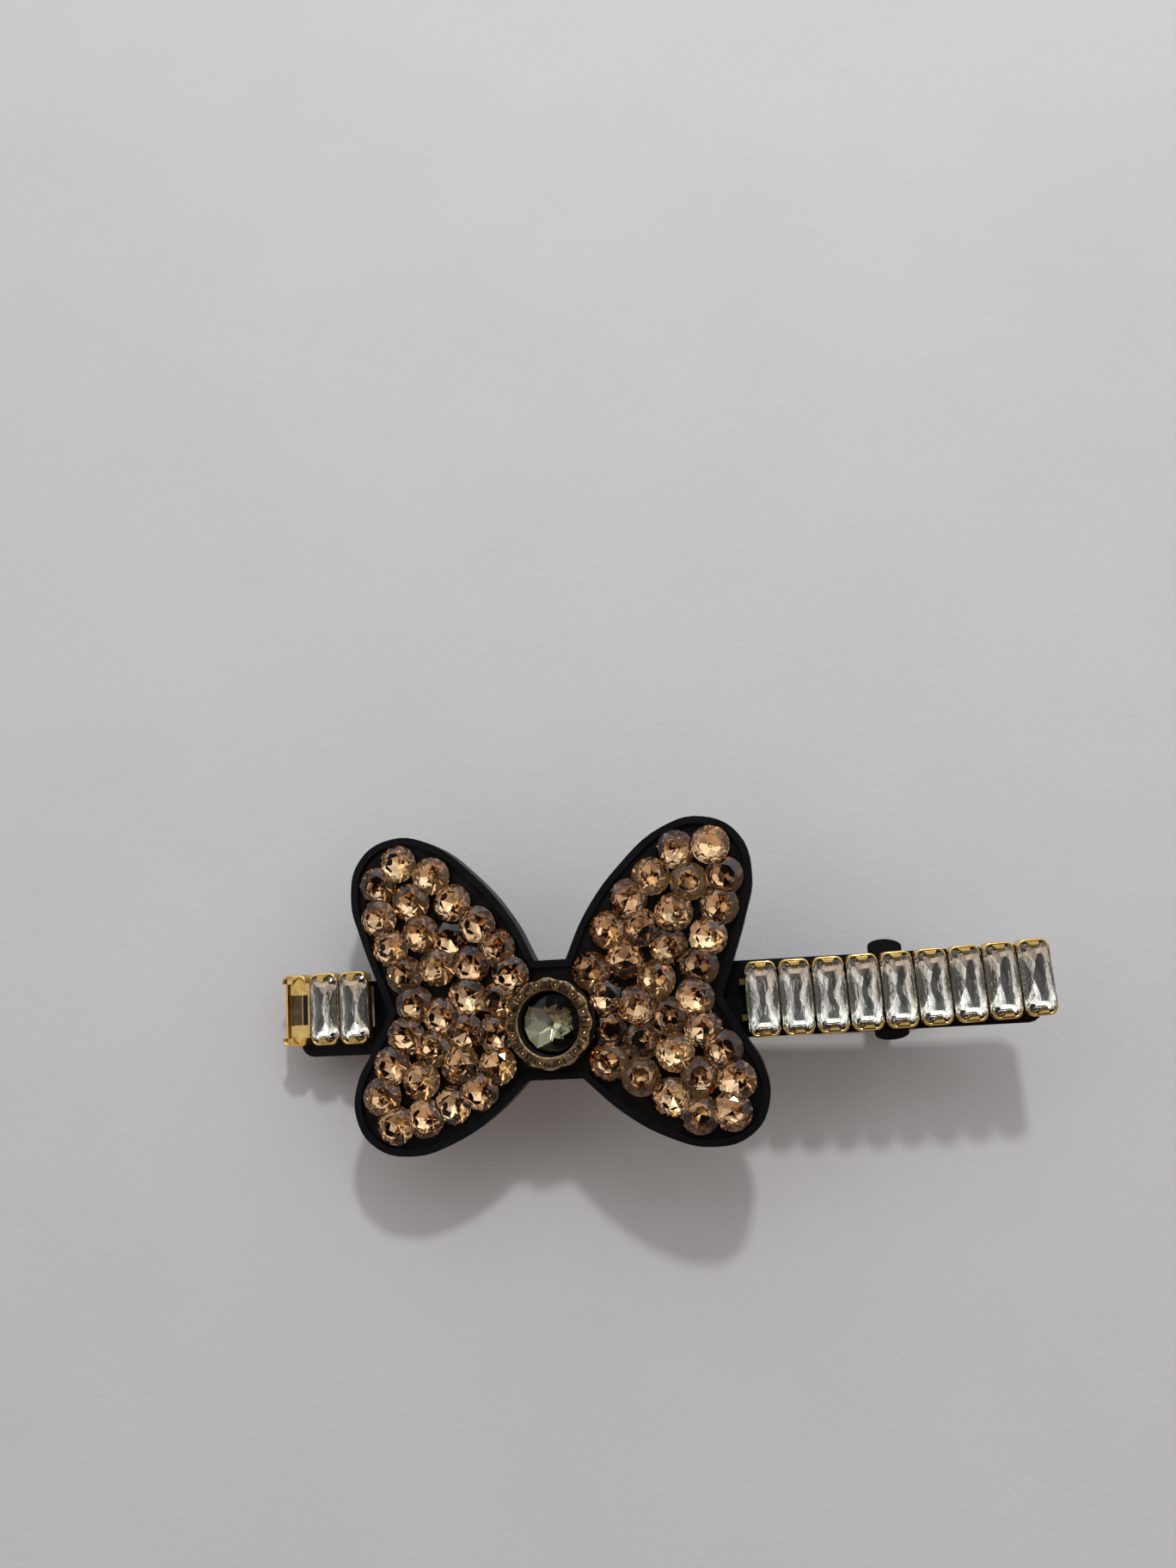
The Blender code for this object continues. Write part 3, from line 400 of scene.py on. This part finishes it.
def cut_glass(name, slot, first, second, ior=1.6):
    """The clear glass of a stone, a little different in tint from one stone to the next."""
    finish = Finish(name, slot)
    return finish.set(
        Base_Color=finish.mix(finish.island(), rgb(*first), rgb(*second)),
        Roughness=0.0,
        IOR=ior,
        Transmission_Weight=1.0,
    )


def streaky_glass():
    """The clear glass of the baguettes, with fine polishing waves along them."""
    finish = Finish("clear_glass", "clear_baguette")
    waves = finish.noise(1.0, 2.0, 0.6, finish.place((3.2, 0.45, 1.0)))
    return finish.set(
        Base_Color=finish.mix(finish.island(), rgb(0.97, 0.97, 0.98), rgb(1.0, 1.0, 1.0)),
        Roughness=0.0,
        IOR=1.6,
        Transmission_Weight=1.0,
        Normal=finish.bump(waves, 0.0001, 0.6),
    )


def stone_foil(name, slot, *shades):
    """The metal foil on a stone's underside, mottled, and of another shade on each stone."""
    finish = Finish(name, slot)
    mottle = finish.noise(0.9, 2.0)
    turn = (finish.island() * 0.8 + mottle * 0.4).fraction()
    stops = [(i / len(shades), shade) for i, shade in enumerate(shades)]
    return finish.set(
        Base_Color=finish.ramp(turn, *stops, (1.0, shades[0])), Metallic=1.0, Roughness=0.04
    )


def halo_glass():
    """The halo's tiny smoky stones, whose foil shows straight through them."""
    finish = Finish("halo_glass", "halo_stone")
    mottle = finish.noise(1.3, 3.0)
    dark = (0.35, (0.05, 0.03, 0.02))
    smoky = (0.5, (0.22, 0.14, 0.08))
    bright = (0.62, (0.5, 0.36, 0.22))
    return finish.set(
        Base_Color=finish.ramp(mottle, dark, smoky, bright),
        Metallic=0.85,
        Roughness=0.12,
        Coat_Weight=1.0,
    )


def dried_glue():
    """Clear glue, cured cloudy and lumpy."""
    finish = Finish("dried_glue", "clear_glue")
    lumps = finish.noise(1.5, 3.0)
    return finish.set(
        Base_Color=finish.mix(lumps, rgb(0.35, 0.33, 0.28), rgb(0.62, 0.6, 0.52)),
        Roughness=0.25 + lumps * 0.2,
        Normal=finish.bump(lumps, 0.0002, 0.8),
    )


def dark_glue():
    """Painted shade: the brown of the empty cup's gold floor in shade, mottled and lumpy."""
    finish = Finish("dark_glue", "clear_glue")
    shade_mottle = finish.noise(0.8, 3.0)
    return finish.set(
        Base_Color=finish.mix(shade_mottle, rgb(0.012, 0.008, 0.005), rgb(0.14, 0.08, 0.03)),
        Roughness=0.3 + shade_mottle * 0.2,
        Normal=finish.bump(shade_mottle, 0.0003, 0.8),
    )


def pale_paper():
    """The pale surface under the clip, with the faint tooth of matt paper."""
    finish = Finish("pale_paper")
    cloud = finish.noise(0.04, 4.0, 0.6)
    tooth = finish.noise(1.1, 4.0, 0.6)
    return finish.set(
        Base_Color=finish.mix(cloud, rgb(0.60, 0.595, 0.60), rgb(0.665, 0.66, 0.665)),
        Roughness=0.8,
        Normal=finish.bump(tooth, 0.0001, 0.4),
    )


LACQUER = black_lacquer()
DIP = dipped_black()
RESIN = black_resin()
GOLD = gold_plate()
BRONZE = bronze_plate()
STEEL = spring_steel()
GLUE = dried_glue()
# Painted shade: the brown of the empty cup's gold floor in shade
GOLD_SHADE_PAINT = dark_glue()
HALO_GLASS = halo_glass()
CHAMPAGNE = [
    cut_glass(
        "champagne_glass", "champagne_paving", (0.96, 0.88, 0.78), (0.99, 0.95, 0.89), ior=1.52
    ),
    stone_foil(
        "champagne_foil",
        "champagne_paving",
        (0.92, 0.65, 0.39),
        (1.0, 0.77, 0.50),
        (0.66, 0.43, 0.25),
    ),
]
CLEAR = [
    streaky_glass(),
    stone_foil(
        "silver_foil", "clear_baguette", (0.95, 0.93, 0.84), (0.99, 0.98, 0.91), (0.91, 0.87, 0.76)
    ),
]
SMOKE = [
    cut_glass("smoke_glass", "smoke_stone", (0.60, 0.57, 0.46), (0.64, 0.61, 0.50)),
    stone_foil("smoke_foil", "smoke_stone", (0.50, 0.50, 0.41), (0.58, 0.58, 0.48)),
]


# -------------------------------------------------------------------------------- mesh helpers


def made(name, shape):
    """The mesh that a bmesh makes. The bmesh is done with."""
    mesh = bpy.data.meshes.new(name)
    shape.to_mesh(mesh)
    shape.free()
    return mesh


def piece(name, shape, finishes, body, replaces=(), smooth=False):
    """A bmesh as a piece of the clip that rides on a body and may stand for CAD nodes."""
    mesh = made(name, shape)
    for finish in finishes:
        mesh.materials.append(finish.material)
    if smooth:
        mesh.shade_smooth()
        mesh.set_sharp_from_angle(angle=SHARP)
    obj = bpy.data.objects.new(name, mesh)
    bpy.context.scene.collection.objects.link(obj)
    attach(obj, body)
    if replaces:
        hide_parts(*replaces)


def refinish(node, finish, rounding=None):
    """A CAD node keeps its shape: it gets its finish, and its edges may be rounded a little."""
    obj = frame["nodes"][node]
    obj.data.materials.clear()
    obj.data.materials.append(finish.material)
    if rounding is None:
        return
    flat = obj.modifiers.new("one face a side", "DECIMATE")
    flat.decimate_type = "DISSOLVE"
    flat.angle_limit = FLAT
    soft = obj.modifiers.new("rounded edges", "BEVEL")
    soft.width = rounding
    soft.segments = 2
    soft.limit_method = "ANGLE"
    soft.angle_limit = SHARP
    soft.harden_normals = True


def flat_sides(node, up=0):
    """A CAD node's flat sides, or with up as 1 or -1 only those that look up or down."""
    shape = bmesh.new()
    shape.from_mesh(frame["nodes"][node].data)
    bmesh.ops.remove_doubles(shape, verts=shape.verts, dist=1e-6)
    bmesh.ops.dissolve_limit(shape, angle_limit=CAD_FLAT, verts=shape.verts, edges=shape.edges)
    sides = []
    for face in shape.faces:
        if up and face.normal.z * up < UP:
            continue
        corners = [vertex.co.copy() for vertex in face.verts]
        centre = face.calc_center_median()
        sides.append(Side(centre, face.normal.copy(), corners, face.calc_area()))
    shape.free()
    return sides


def area_of(side):
    return side.area


def upright(origin, up, along):
    """A frame in millimetres whose z axis is up, and whose x axis lies near along."""
    across = up.cross(along).normalized()
    turn = Matrix((across.cross(up), across, up)).transposed().to_4x4()
    return Matrix.Translation(origin) @ turn @ Matrix.Scale(MM, 4)


def drop_loose(shape):
    """Takes out the corners that no face uses."""
    loose = [vertex for vertex in shape.verts if not vertex.link_faces]
    bmesh.ops.delete(shape, geom=loose, context="VERTS")


def hull(points):
    """The convex solid round these corners, with one flat face for each facet."""
    shape = bmesh.new()
    for point in points:
        shape.verts.new(point)
    bmesh.ops.convex_hull(shape, input=shape.verts)
    drop_loose(shape)
    bmesh.ops.dissolve_limit(shape, angle_limit=FLAT, verts=shape.verts, edges=shape.edges)
    bmesh.ops.recalc_face_normals(shape, faces=shape.faces)
    return shape


def foil_under(shape, height):
    """The facets under a height that face down get the second material, the foil."""
    for face in shape.faces:
        under = face.calc_center_median().z < height and face.normal.z < -0.01
        face.material_index = 1 if under else 0
    return made("cut", shape)


def gather(placed):
    """Copies of small meshes, each at its place, in one bmesh."""
    shape = bmesh.new()
    for mesh, place in placed:
        copy = mesh.copy()
        copy.transform(place)
        shape.from_mesh(copy)
        bpy.data.meshes.remove(copy)
    return shape


def turned(profile, sides, oval=1.0, middle=0.0):
    """A closed profile turned about z, narrower across x by oval and moved along x to a middle.

    The profile is a function of the turn, which gives (radius, height) in mm for each corner.
    """
    shape = bmesh.new()
    rings = []
    for i in range(sides):
        turn = 2 * math.pi * i / sides
        x = oval * math.cos(turn)
        y = math.sin(turn)
        rings.append([shape.verts.new((middle + r * x, r * y, z)) for r, z in profile(turn)])
    for ring, following in zip(rings, rings[1:] + rings[:1]):
        for k in range(len(ring)):
            m = (k + 1) % len(ring)
            shape.faces.new((ring[k], following[k], following[m], ring[m]))
    bmesh.ops.recalc_face_normals(shape, faces=shape.faces)
    return shape


# ------------------------------------------------------------------------------- the cut stones


def on_circle(radius, height, count, start=0.0):
    """Corners evenly round the z axis, from an angle in degrees."""
    for i in range(count):
        turn = math.radians(start) + 2 * math.pi * i / count
        yield Vector((radius * math.cos(turn), radius * math.sin(turn), height))


def brilliant(radius, table, crown, girdle, pavilion):
    """A round cut with its table at z = 0: table, stars, kites, girdle, and kites to a culet."""
    half = 180 / FOLD
    lean = math.cos(math.radians(half))
    star = (0.5 + 0.5 * table) * radius
    keel = STONE_KEEL * radius
    rim = -crown
    under = rim - girdle
    break_up = rim + crown * (radius - star * lean) / (radius * (1 - table))
    break_down = under - pavilion * (1 - keel * lean / radius)
    points = [
        *on_circle(radius * table, 0, FOLD),
        *on_circle(star, break_up, FOLD, half),
        *on_circle(radius, rim, 2 * FOLD),
        *on_circle(radius, under, 2 * FOLD),
        *on_circle(keel, break_down, FOLD, half),
        (0, 0, under - pavilion),
    ]
    return foil_under(hull(points), under)


def chaton_places(node):
    """Frames on the tables of a wing's stones, which are its only faces of that size and shape."""
    radius = SEAT_RADIUS * STONE_TABLE * MM
    octagon = 2 * math.sqrt(2) * radius**2
    for side in flat_sides(node):
        spoke = side.corners[0] - side.centre
        if abs(side.area / octagon - 1) < ALIKE and abs(spoke.length / radius - 1) < ALIKE:
            yield upright(side.centre, side.normal, spoke)


def wing_stones(label):
    """The stones of a wing, cut to a few depths in turn. Returns their places."""
    node = f"{label}_wing_paving"
    cuts = [
        brilliant(STONE_RADIUS, STONE_TABLE, STONE_CROWN, STONE_GIRDLE, depth)
        for depth in STONE_PAVILIONS
    ]
    places = list(chaton_places(node))
    placed = [(cuts[i % len(cuts)], place) for i, place in enumerate(places)]
    piece(f"{label}_wing_stones", gather(placed), CHAMPAGNE, "bar", [node])
    return places


def resin_bed(stones):
    """Black resin over the tray's floor, with a well for each stone and for the centre cup."""
    tray_floor = max(flat_sides("bow_tray", up=1), key=area_of)
    home = upright(tray_floor.centre, tray_floor.normal, ALONG)
    inward = home.inverted()
    outlines = [[(inward @ corner).to_2d() for corner in tray_floor.corners]]
    wells = [(inward @ place, WELL_RADIUS) for place in stones]
    wells.append((inward @ centre_frame(), CUP_OUTER))
    for place, radius in wells:
        lean = place.to_3x3().col[2].normalized()
        spot = place.translation - lean * (place.translation.z - BED[1]) / lean.z
        outlines.append([(spot + p).to_2d() for p in on_circle(radius, 0, WELL_SIDES)])
    shape = plate_with_holes(outlines, *BED)
    shape.transform(home)
    piece("resin_bed", shape, [RESIN], "bar")


def plate_with_holes(outlines, low, high):
    """A level plate inside the first outline and outside all the others."""
    points = []
    loops = []
    for outline in outlines:
        loops.append(list(range(len(points), len(points) + len(outline))))
        points += outline
    spots, _, tiles, _, _, sources = delaunay_2d_cdt(points, [], loops, 1, 1e-5)
    kept = [corners for corners, source in zip(tiles, sources) if list(source) == [0]]
    shape = bmesh.new()
    top = [shape.verts.new((x, y, high)) for x, y in spots]
    bottom = [shape.verts.new((x, y, low)) for x, y in spots]
    for corners in kept:
        shape.faces.new([top[i] for i in corners])
        shape.faces.new([bottom[i] for i in reversed(corners)])
    sides = {(a, b) for loop in kept for a, b in zip(loop, (*loop[1:], loop[0]))}
    for a, b in sorted(sides):
        if (b, a) not in sides:
            shape.faces.new((top[b], top[a], bottom[a], bottom[b]))
    drop_loose(shape)
    return shape


def baguette():
    """A long cut with its table at z = 0: narrow facets run along it, above and below."""
    x, y = BAGUETTE_HALF
    clip = BAGUETTE_CLIP
    under = BAGUETTE_GIRDLE[1]
    full_across, full_along = BAGUETTE_ARCH
    quarter = list(BAGUETTE_CROWN)
    for height in BAGUETTE_GIRDLE:
        quarter += [(x, y - clip, height), (x - clip, y, height)]
    for across, stations in BAGUETTE_ROWS:
        for along in stations:
            crest = (1 - (across / x) ** full_across) * (1 - (along / y) ** full_along)
            quarter.append((across, along, under - BAGUETTE_DEPTH * crest))
    points = [(sx * a, sy * b, c) for sx in (-1, 1) for sy in (-1, 1) for a, b, c in quarter]
    return foil_under(hull(points), under)


def slab(shape, outline, low, high):
    """A prism on a level outline."""
    top = [shape.verts.new((x, y, high)) for x, y in outline]
    bottom = [shape.verts.new((x, y, low)) for x, y in outline]
    shape.faces.new(top)
    shape.faces.new(list(reversed(bottom)))
    for a, b, c, d in zip(top, top[1:] + top[:1], bottom[1:] + bottom[:1], bottom):
        shape.faces.new((b, a, d, c))


def block(shape, x, y, z):
    """A block between two numbers along each axis, the lower one first."""
    slab(shape, ((x[0], y[0]), (x[1], y[0]), (x[1], y[1]), (x[0], y[1])), *z)


def mirrored(side, low, high):
    """Two distances from the middle, on one side of it, the lower number first."""
    return sorted((side * low, side * high))


def wire(shape, path, radius, sides=10):
    """A round wire along a level path, with flat ends."""
    rings = []
    for i, point in enumerate(path):
        ahead = path[min(i + 1, len(path) - 1)]
        behind = path[max(i - 1, 0)]
        side = (ahead - behind).cross(Vector((0, 0, 1))).normalized()
        ring = []
        for k in range(sides):
            turn = 2 * math.pi * k / sides
            spoke = side * math.cos(turn) + Vector((0, 0, math.sin(turn)))
            ring.append(shape.verts.new(point + radius * spoke))
        rings.append(ring)
    for ring, following in zip(rings, rings[1:]):
        for k in range(sides):
            m = (k + 1) % sides
            shape.faces.new((ring[k], ring[m], following[m], following[k]))
    shape.faces.new(list(reversed(rings[0])))
    shape.faces.new(rings[-1])


def bent_end(inset, end):
    """The line of a cup's end wall, from one long side round both corners to the other."""
    x = CHAIN_CUP[0] / 2 - inset
    y = CHAIN_CUP[1] / 2 - inset
    corner = CHAIN_CUP_CORNER - inset
    reach = CHAIN_CUP_REACH - inset
    path = [Vector((-x, end * (y - reach), 0))]
    for middle, start, steps in ((corner - x, 180, 6), (x - corner, 90, 5)):
        for i in range(steps + 1):
            turn = math.radians(start - 90 * i / steps)
            across = middle + corner * math.cos(turn)
            along = y - corner + corner * math.sin(turn)
            path.append(Vector((across, end * along, 0)))
    path.append(Vector((x, end * (y - reach), 0)))
    return path


def claw(end):
    """A claw bent in from the middle of a cup's end over the end of its stone."""
    points = []
    for half, y, low, high in CLAW_STATIONS:
        for x in (-half, half):
            points += [(x, end * y, low), (x, end * y, high)]
    return points


def gold_cup(link):
    """A stamped cup for a baguette: floor, low sides, end walls with rolled lips, two claws."""
    shape = bmesh.new()
    x, y = CHAIN_CUP[0] / 2, CHAIN_CUP[1] / 2
    base_x, base_y = x - BASE_INSET[0], y - BASE_INSET[1]
    side_y = y - SIDE_INSET
    ledge_x, ledge_y = x - LEDGE_INSET[0], y - LEDGE_INSET[1]
    lip_height = Vector((0, 0, CHAIN_CUP_END[1]))
    block(shape, (-base_x, base_x), (-base_y, base_y), (0, CHAIN_CUP_BASE))
    for side in (-1, 1):
        long_wall = mirrored(side, x - CHAIN_CUP_SHEET, x)
        block(shape, long_wall, (-side_y, side_y), CHAIN_CUP_SIDE)
        ledge = mirrored(side, LEDGE_START, ledge_y)
        block(shape, (-ledge_x, ledge_x), ledge, CHAIN_CUP_LEDGE)
        end_wall = bent_end(0, side) + bent_end(CHAIN_CUP_SHEET, side)[::-1]
        slab(shape, [(p.x, p.y) for p in end_wall], *CHAIN_CUP_END)
        wire(shape, [p + lip_height for p in bent_end(LIP_RADIUS, side)], LIP_RADIUS)
        shape.from_mesh(made("claw", hull(claw(side))))
        block(shape, (-x - link, LINK_ROOT - x), mirrored(side, *LINK_PLACE), LINK_HEIGHT)
    bmesh.ops.recalc_face_normals(shape, faces=shape.faces)
    return made("cup", shape)


def gold_cups():
    """Each cup stands in its CAD cup's place, under its stone's table where it holds one."""
    for node in sorted(n for n in frame["nodes"] if n.startswith("chain_cup")):
        stone = node.replace("chain_cup", "baguette")
        if stone in frame["nodes"]:
            place = table_frame(stone) @ Matrix.Translation((0, 0, -TABLE_OVER_CUP))
        else:
            place = empty_cup_frame(node)
            # Painted shade, brown and black, on the empty cup's floor
            old_glue(place)
        cup = gold_cup(LOOSE_LINK if node == CUT_CUP else LINK)
        piece(f"{node}_stamped", gather([(cup, place)]), [GOLD], "bar", [node], smooth=True)


def empty_cup_frame(node):
    """The frame on the underside of a cup with no stone, from the two halves of its floor."""
    one, other = sorted(flat_sides(node, up=1), key=area_of)[-2:]
    underside = (one.centre + other.centre) / 2 - other.normal * CHAIN_CUP_BASE * MM
    return upright(underside, other.normal, ALONG)


def old_glue(place):
    """Painted shade on the floor of the empty cup: a brown patch for its gold floor in shade, and
    a black one for the deep shade along one side.
    """
    patches = (("brown", GOLD_SHADE_PAINT, CUP_SHADE_BROWN), ("black", RESIN, CUP_SHADE_BLACK))
    for name, finish, across in patches:
        shape = bmesh.new()
        block(shape, across, (-CUP_SHADE_HALF, CUP_SHADE_HALF), CUP_SHADE_HEIGHT)
        shape.transform(place)
        piece(f"old_glue_{name}", shape, [finish], "bar")


def table_frame(node):
    """The frame on a baguette's table, its x axis across the stone."""
    table = max(flat_sides(node, up=1), key=area_of)
    edges = [b - a for a, b in zip(table.corners, table.corners[1:])]
    short = min(edges, key=lambda edge: edge.length)
    return upright(table.centre, table.normal, short if short.x > 0 else -short)


def baguettes():
    """Each baguette has its table where its CAD stone has it."""
    cut = baguette()
    for node in sorted(frame["nodes"]):
        if not node.startswith("baguette"):
            continue
        shape = gather([(cut, table_frame(node))])
        piece(f"{node}_stone", shape, CLEAR, "bar", [node])


# -------------------------------------------------------------------------- the bow's centre


def centre_frame():
    """The frame on the middle of the centre cup's underside."""
    underside = max(flat_sides("centre_cup", up=-1), key=area_of)
    return upright(underside.centre, -underside.normal, ALONG)


def centre_cup(place):
    """The deep black cup that the centre stone lies in."""
    profile = [
        (0.01, CUP_FLOOR),
        (CUP_INNER - CUP_HOLLOW, CUP_FLOOR),
        (CUP_INNER, CUP_FLOOR + CUP_HOLLOW),
        (CUP_INNER, CUP_TOP - CUP_LIP_IN),
        (CUP_INNER + CUP_LIP_IN, CUP_TOP),
        (CUP_OUTER - CUP_LIP_OUT, CUP_TOP),
        (CUP_OUTER, CUP_TOP - CUP_LIP_OUT),
        (CUP_OUTER, 0),
        (0.01, 0),
    ]
    shape = turned(lambda turn: profile, CUP_SIDES)
    shape.transform(place)
    piece("centre_cup_wall", shape, [LACQUER], "bar", ["centre_cup"], smooth=True)


def centre_stone(place):
    """A cut with a pointed crown, so that its facets run to the middle."""
    cut = brilliant(CENTRE_RADIUS, CENTRE_TABLE, CENTRE_CROWN, STONE_GIRDLE, CENTRE_PAVILION)
    table = Matrix.Translation((0, 0, CENTRE_GIRDLE + STONE_GIRDLE + CENTRE_CROWN))
    turn = Matrix.Rotation(CENTRE_TURN, 4, "Z")
    shape = gather([(cut, place @ table @ turn)])
    piece("centre_stone_cut", shape, SMOKE, "bar", ["centre_stone"])


def scalloped(turn):
    """The halo ring's section: its outside swells at each bead."""
    outer = RING_OUTER + RING_SCALLOP * math.cos(BEADS * turn)
    return [
        (RING_INNER, RING_LOW),
        (RING_INNER, RING_HIGH - RING_CHAMFER_IN),
        (RING_INNER + RING_CHAMFER_IN, RING_HIGH),
        (outer - RING_CHAMFER_OUT, RING_HIGH),
        (outer, RING_HIGH - RING_CHAMFER_OUT),
        (outer, RING_LOW),
    ]


def halo_ring(place):
    """The scalloped bronze ring, with a bead between each two of its small stones."""
    ring = made("ring", turned(scalloped, RING_STEPS * BEADS, RING_OVAL, RING_X))
    bead = made("bead", turned(lambda turn: BEAD_PROFILE, BEAD_SIDES))
    placed = [(ring, place)]
    for i in range(BEADS):
        turn = 2 * math.pi * (i + 0.5) / BEADS
        x = RING_X + RING_OVAL * BEAD_CIRCLE * math.cos(turn)
        spot = Matrix.Translation((x, BEAD_CIRCLE * math.sin(turn), RING_HIGH))
        placed.append((bead, place @ spot))
    piece("halo_ring_cast", gather(placed), [BRONZE], "bar", ["halo_ring"], smooth=True)


# ------------------------------------------------------------------- floor, light and camera


def level_frame():
    """The bar's own frame: x along it, y across, z up, the crown of its arch at the origin."""
    joints = {joint["name"]: joint for joint in frame["joints"]}
    along = Vector(joints["front_arm_pinch"]["axis"]).normalized()
    across = Vector((0, 1, 0))
    turn = Matrix((along, across, along.cross(across))).transposed()
    bar = [turn.transposed() @ v.co for v in frame["nodes"]["top_bar"].data.vertices]
    low = [min(corner[i] for corner in bar) for i in range(3)]
    high = [max(corner[i] for corner in bar) for i in range(3)]
    crown = Vector(((low[0] + high[0]) / 2, (low[1] + high[1]) / 2, high[2]))
    return Matrix.Translation(turn @ crown) @ turn.to_4x4()


def floor():
    """The sheet of pale paper that the clip lies on."""
    shape = bmesh.new()
    bmesh.ops.create_grid(shape, x_segments=1, y_segments=1, size=FLOOR_HALF)
    mesh = made("floor", shape)
    mesh.materials.append(pale_paper().material)
    obj = bpy.data.objects.new("floor", mesh)
    bpy.context.scene.collection.objects.link(obj)


def window():
    """A small bright window that faces the clip and throws its shadow."""
    light = bpy.data.lights.new("window", "AREA")
    light.shape = "RECTANGLE"
    light.size, light.size_y = WINDOW_SIZE
    light.energy = WINDOW_POWER
    light.color = WINDOW_COLOUR
    obj = bpy.data.objects.new("window", light)
    obj.location = WINDOW_PLACE
    obj.rotation_euler = (-Vector(WINDOW_PLACE)).to_track_quat("-Z", "Y").to_euler()
    bpy.context.scene.collection.objects.link(obj)


def room():
    """Light from all round: bright towards the window, brown behind, dark overhead.

    Behind the clip, the eye sees a plain grey backdrop.
    """
    world = bpy.data.worlds.new("room")
    bpy.context.scene.world = world
    world.use_nodes = True
    nodes = Nodes(world.node_tree)
    way = nodes.node("TexCoord", output="Generated")
    height = nodes.node("SeparateXYZ", output="Z", Vector=way)
    settings = {"operation": "DOT_PRODUCT"}
    facing = nodes.node("VectorMath", settings, output="Value", in0=way, in1=TO_THE_DAY)
    glow = nodes.ramp(facing, (0.0, ROOM_WARM), (0.3, ROOM_GREY), (0.65, ROOM_DAY))
    patches = nodes.node("TexNoise", Vector=way, Scale=2.4, Detail=1.0)
    patches = nodes.ramp(patches, (0.4, 0.35), (0.6, 1.0))
    overhead = nodes.ramp(height, (0.74, 1.0), (0.88, 0.05))
    seen = nodes.node("LightPath", output="Is Camera Ray")
    back = world.node_tree.nodes["Background"]
    colour = nodes.mix(seen, glow, rgb(*BACKDROP))
    connect(world.node_tree, back.inputs["Color"], colour)
    strength = seen + (1 - seen) * patches * overhead * ROOM_LIGHT
    connect(world.node_tree, back.inputs["Strength"], strength)


def camera():
    """Looks down on the clip, placed from the bar's level frame."""
    data = bpy.data.cameras.new("camera")
    data.lens = CAMERA_LENS
    data.sensor_width = CAMERA_SENSOR
    data.clip_start = 0.005
    obj = bpy.data.objects.new("camera", data)
    turn = Matrix()
    for angle, axis in zip(CAMERA_TURN, "XYZ"):
        turn = Matrix.Rotation(angle, 4, axis) @ turn
    obj.matrix_world = level_frame() @ Matrix.Translation(Vector(CAMERA_PLACE) * MM) @ turn
    bpy.context.scene.collection.objects.link(obj)
    bpy.context.scene.camera = obj
    bpy.context.scene.view_settings.view_transform = "Standard"


# ------------------------------------------------------------------------------ the whole clip

PLAIN = {
    "top_bar": (LACQUER, METAL_ROUND),
    "tongue": (LACQUER, METAL_ROUND),
    "catch_arm_front": (DIP, METAL_ROUND),
    "catch_arm_back": (DIP, METAL_ROUND),
    "bow_tray": (LACQUER, RIM_ROUND),
    "hinge_pin": (STEEL, None),
    "tension_leaf": (STEEL, None),
    "catch_base": (STEEL, None),
    "catch_rivet_left": (STEEL, None),
    "catch_rivet_right": (STEEL, None),
    "bow_adhesive": (GLUE, None),
    "chain_adhesive_left": (GLUE, None),
    "chain_adhesive_right": (GLUE, None),
}


def main():
    camera()
    room()
    window()
    floor()
    for node in frame["nodes"]:
        if node in PLAIN:
            refinish(node, *PLAIN[node])
        elif node.startswith("halo_stone"):
            refinish(node, HALO_GLASS)
    resin_bed(wing_stones("left") + wing_stones("right"))
    baguettes()
    gold_cups()
    place = centre_frame()
    centre_cup(place)
    centre_stone(place)
    halo_ring(place)


main()
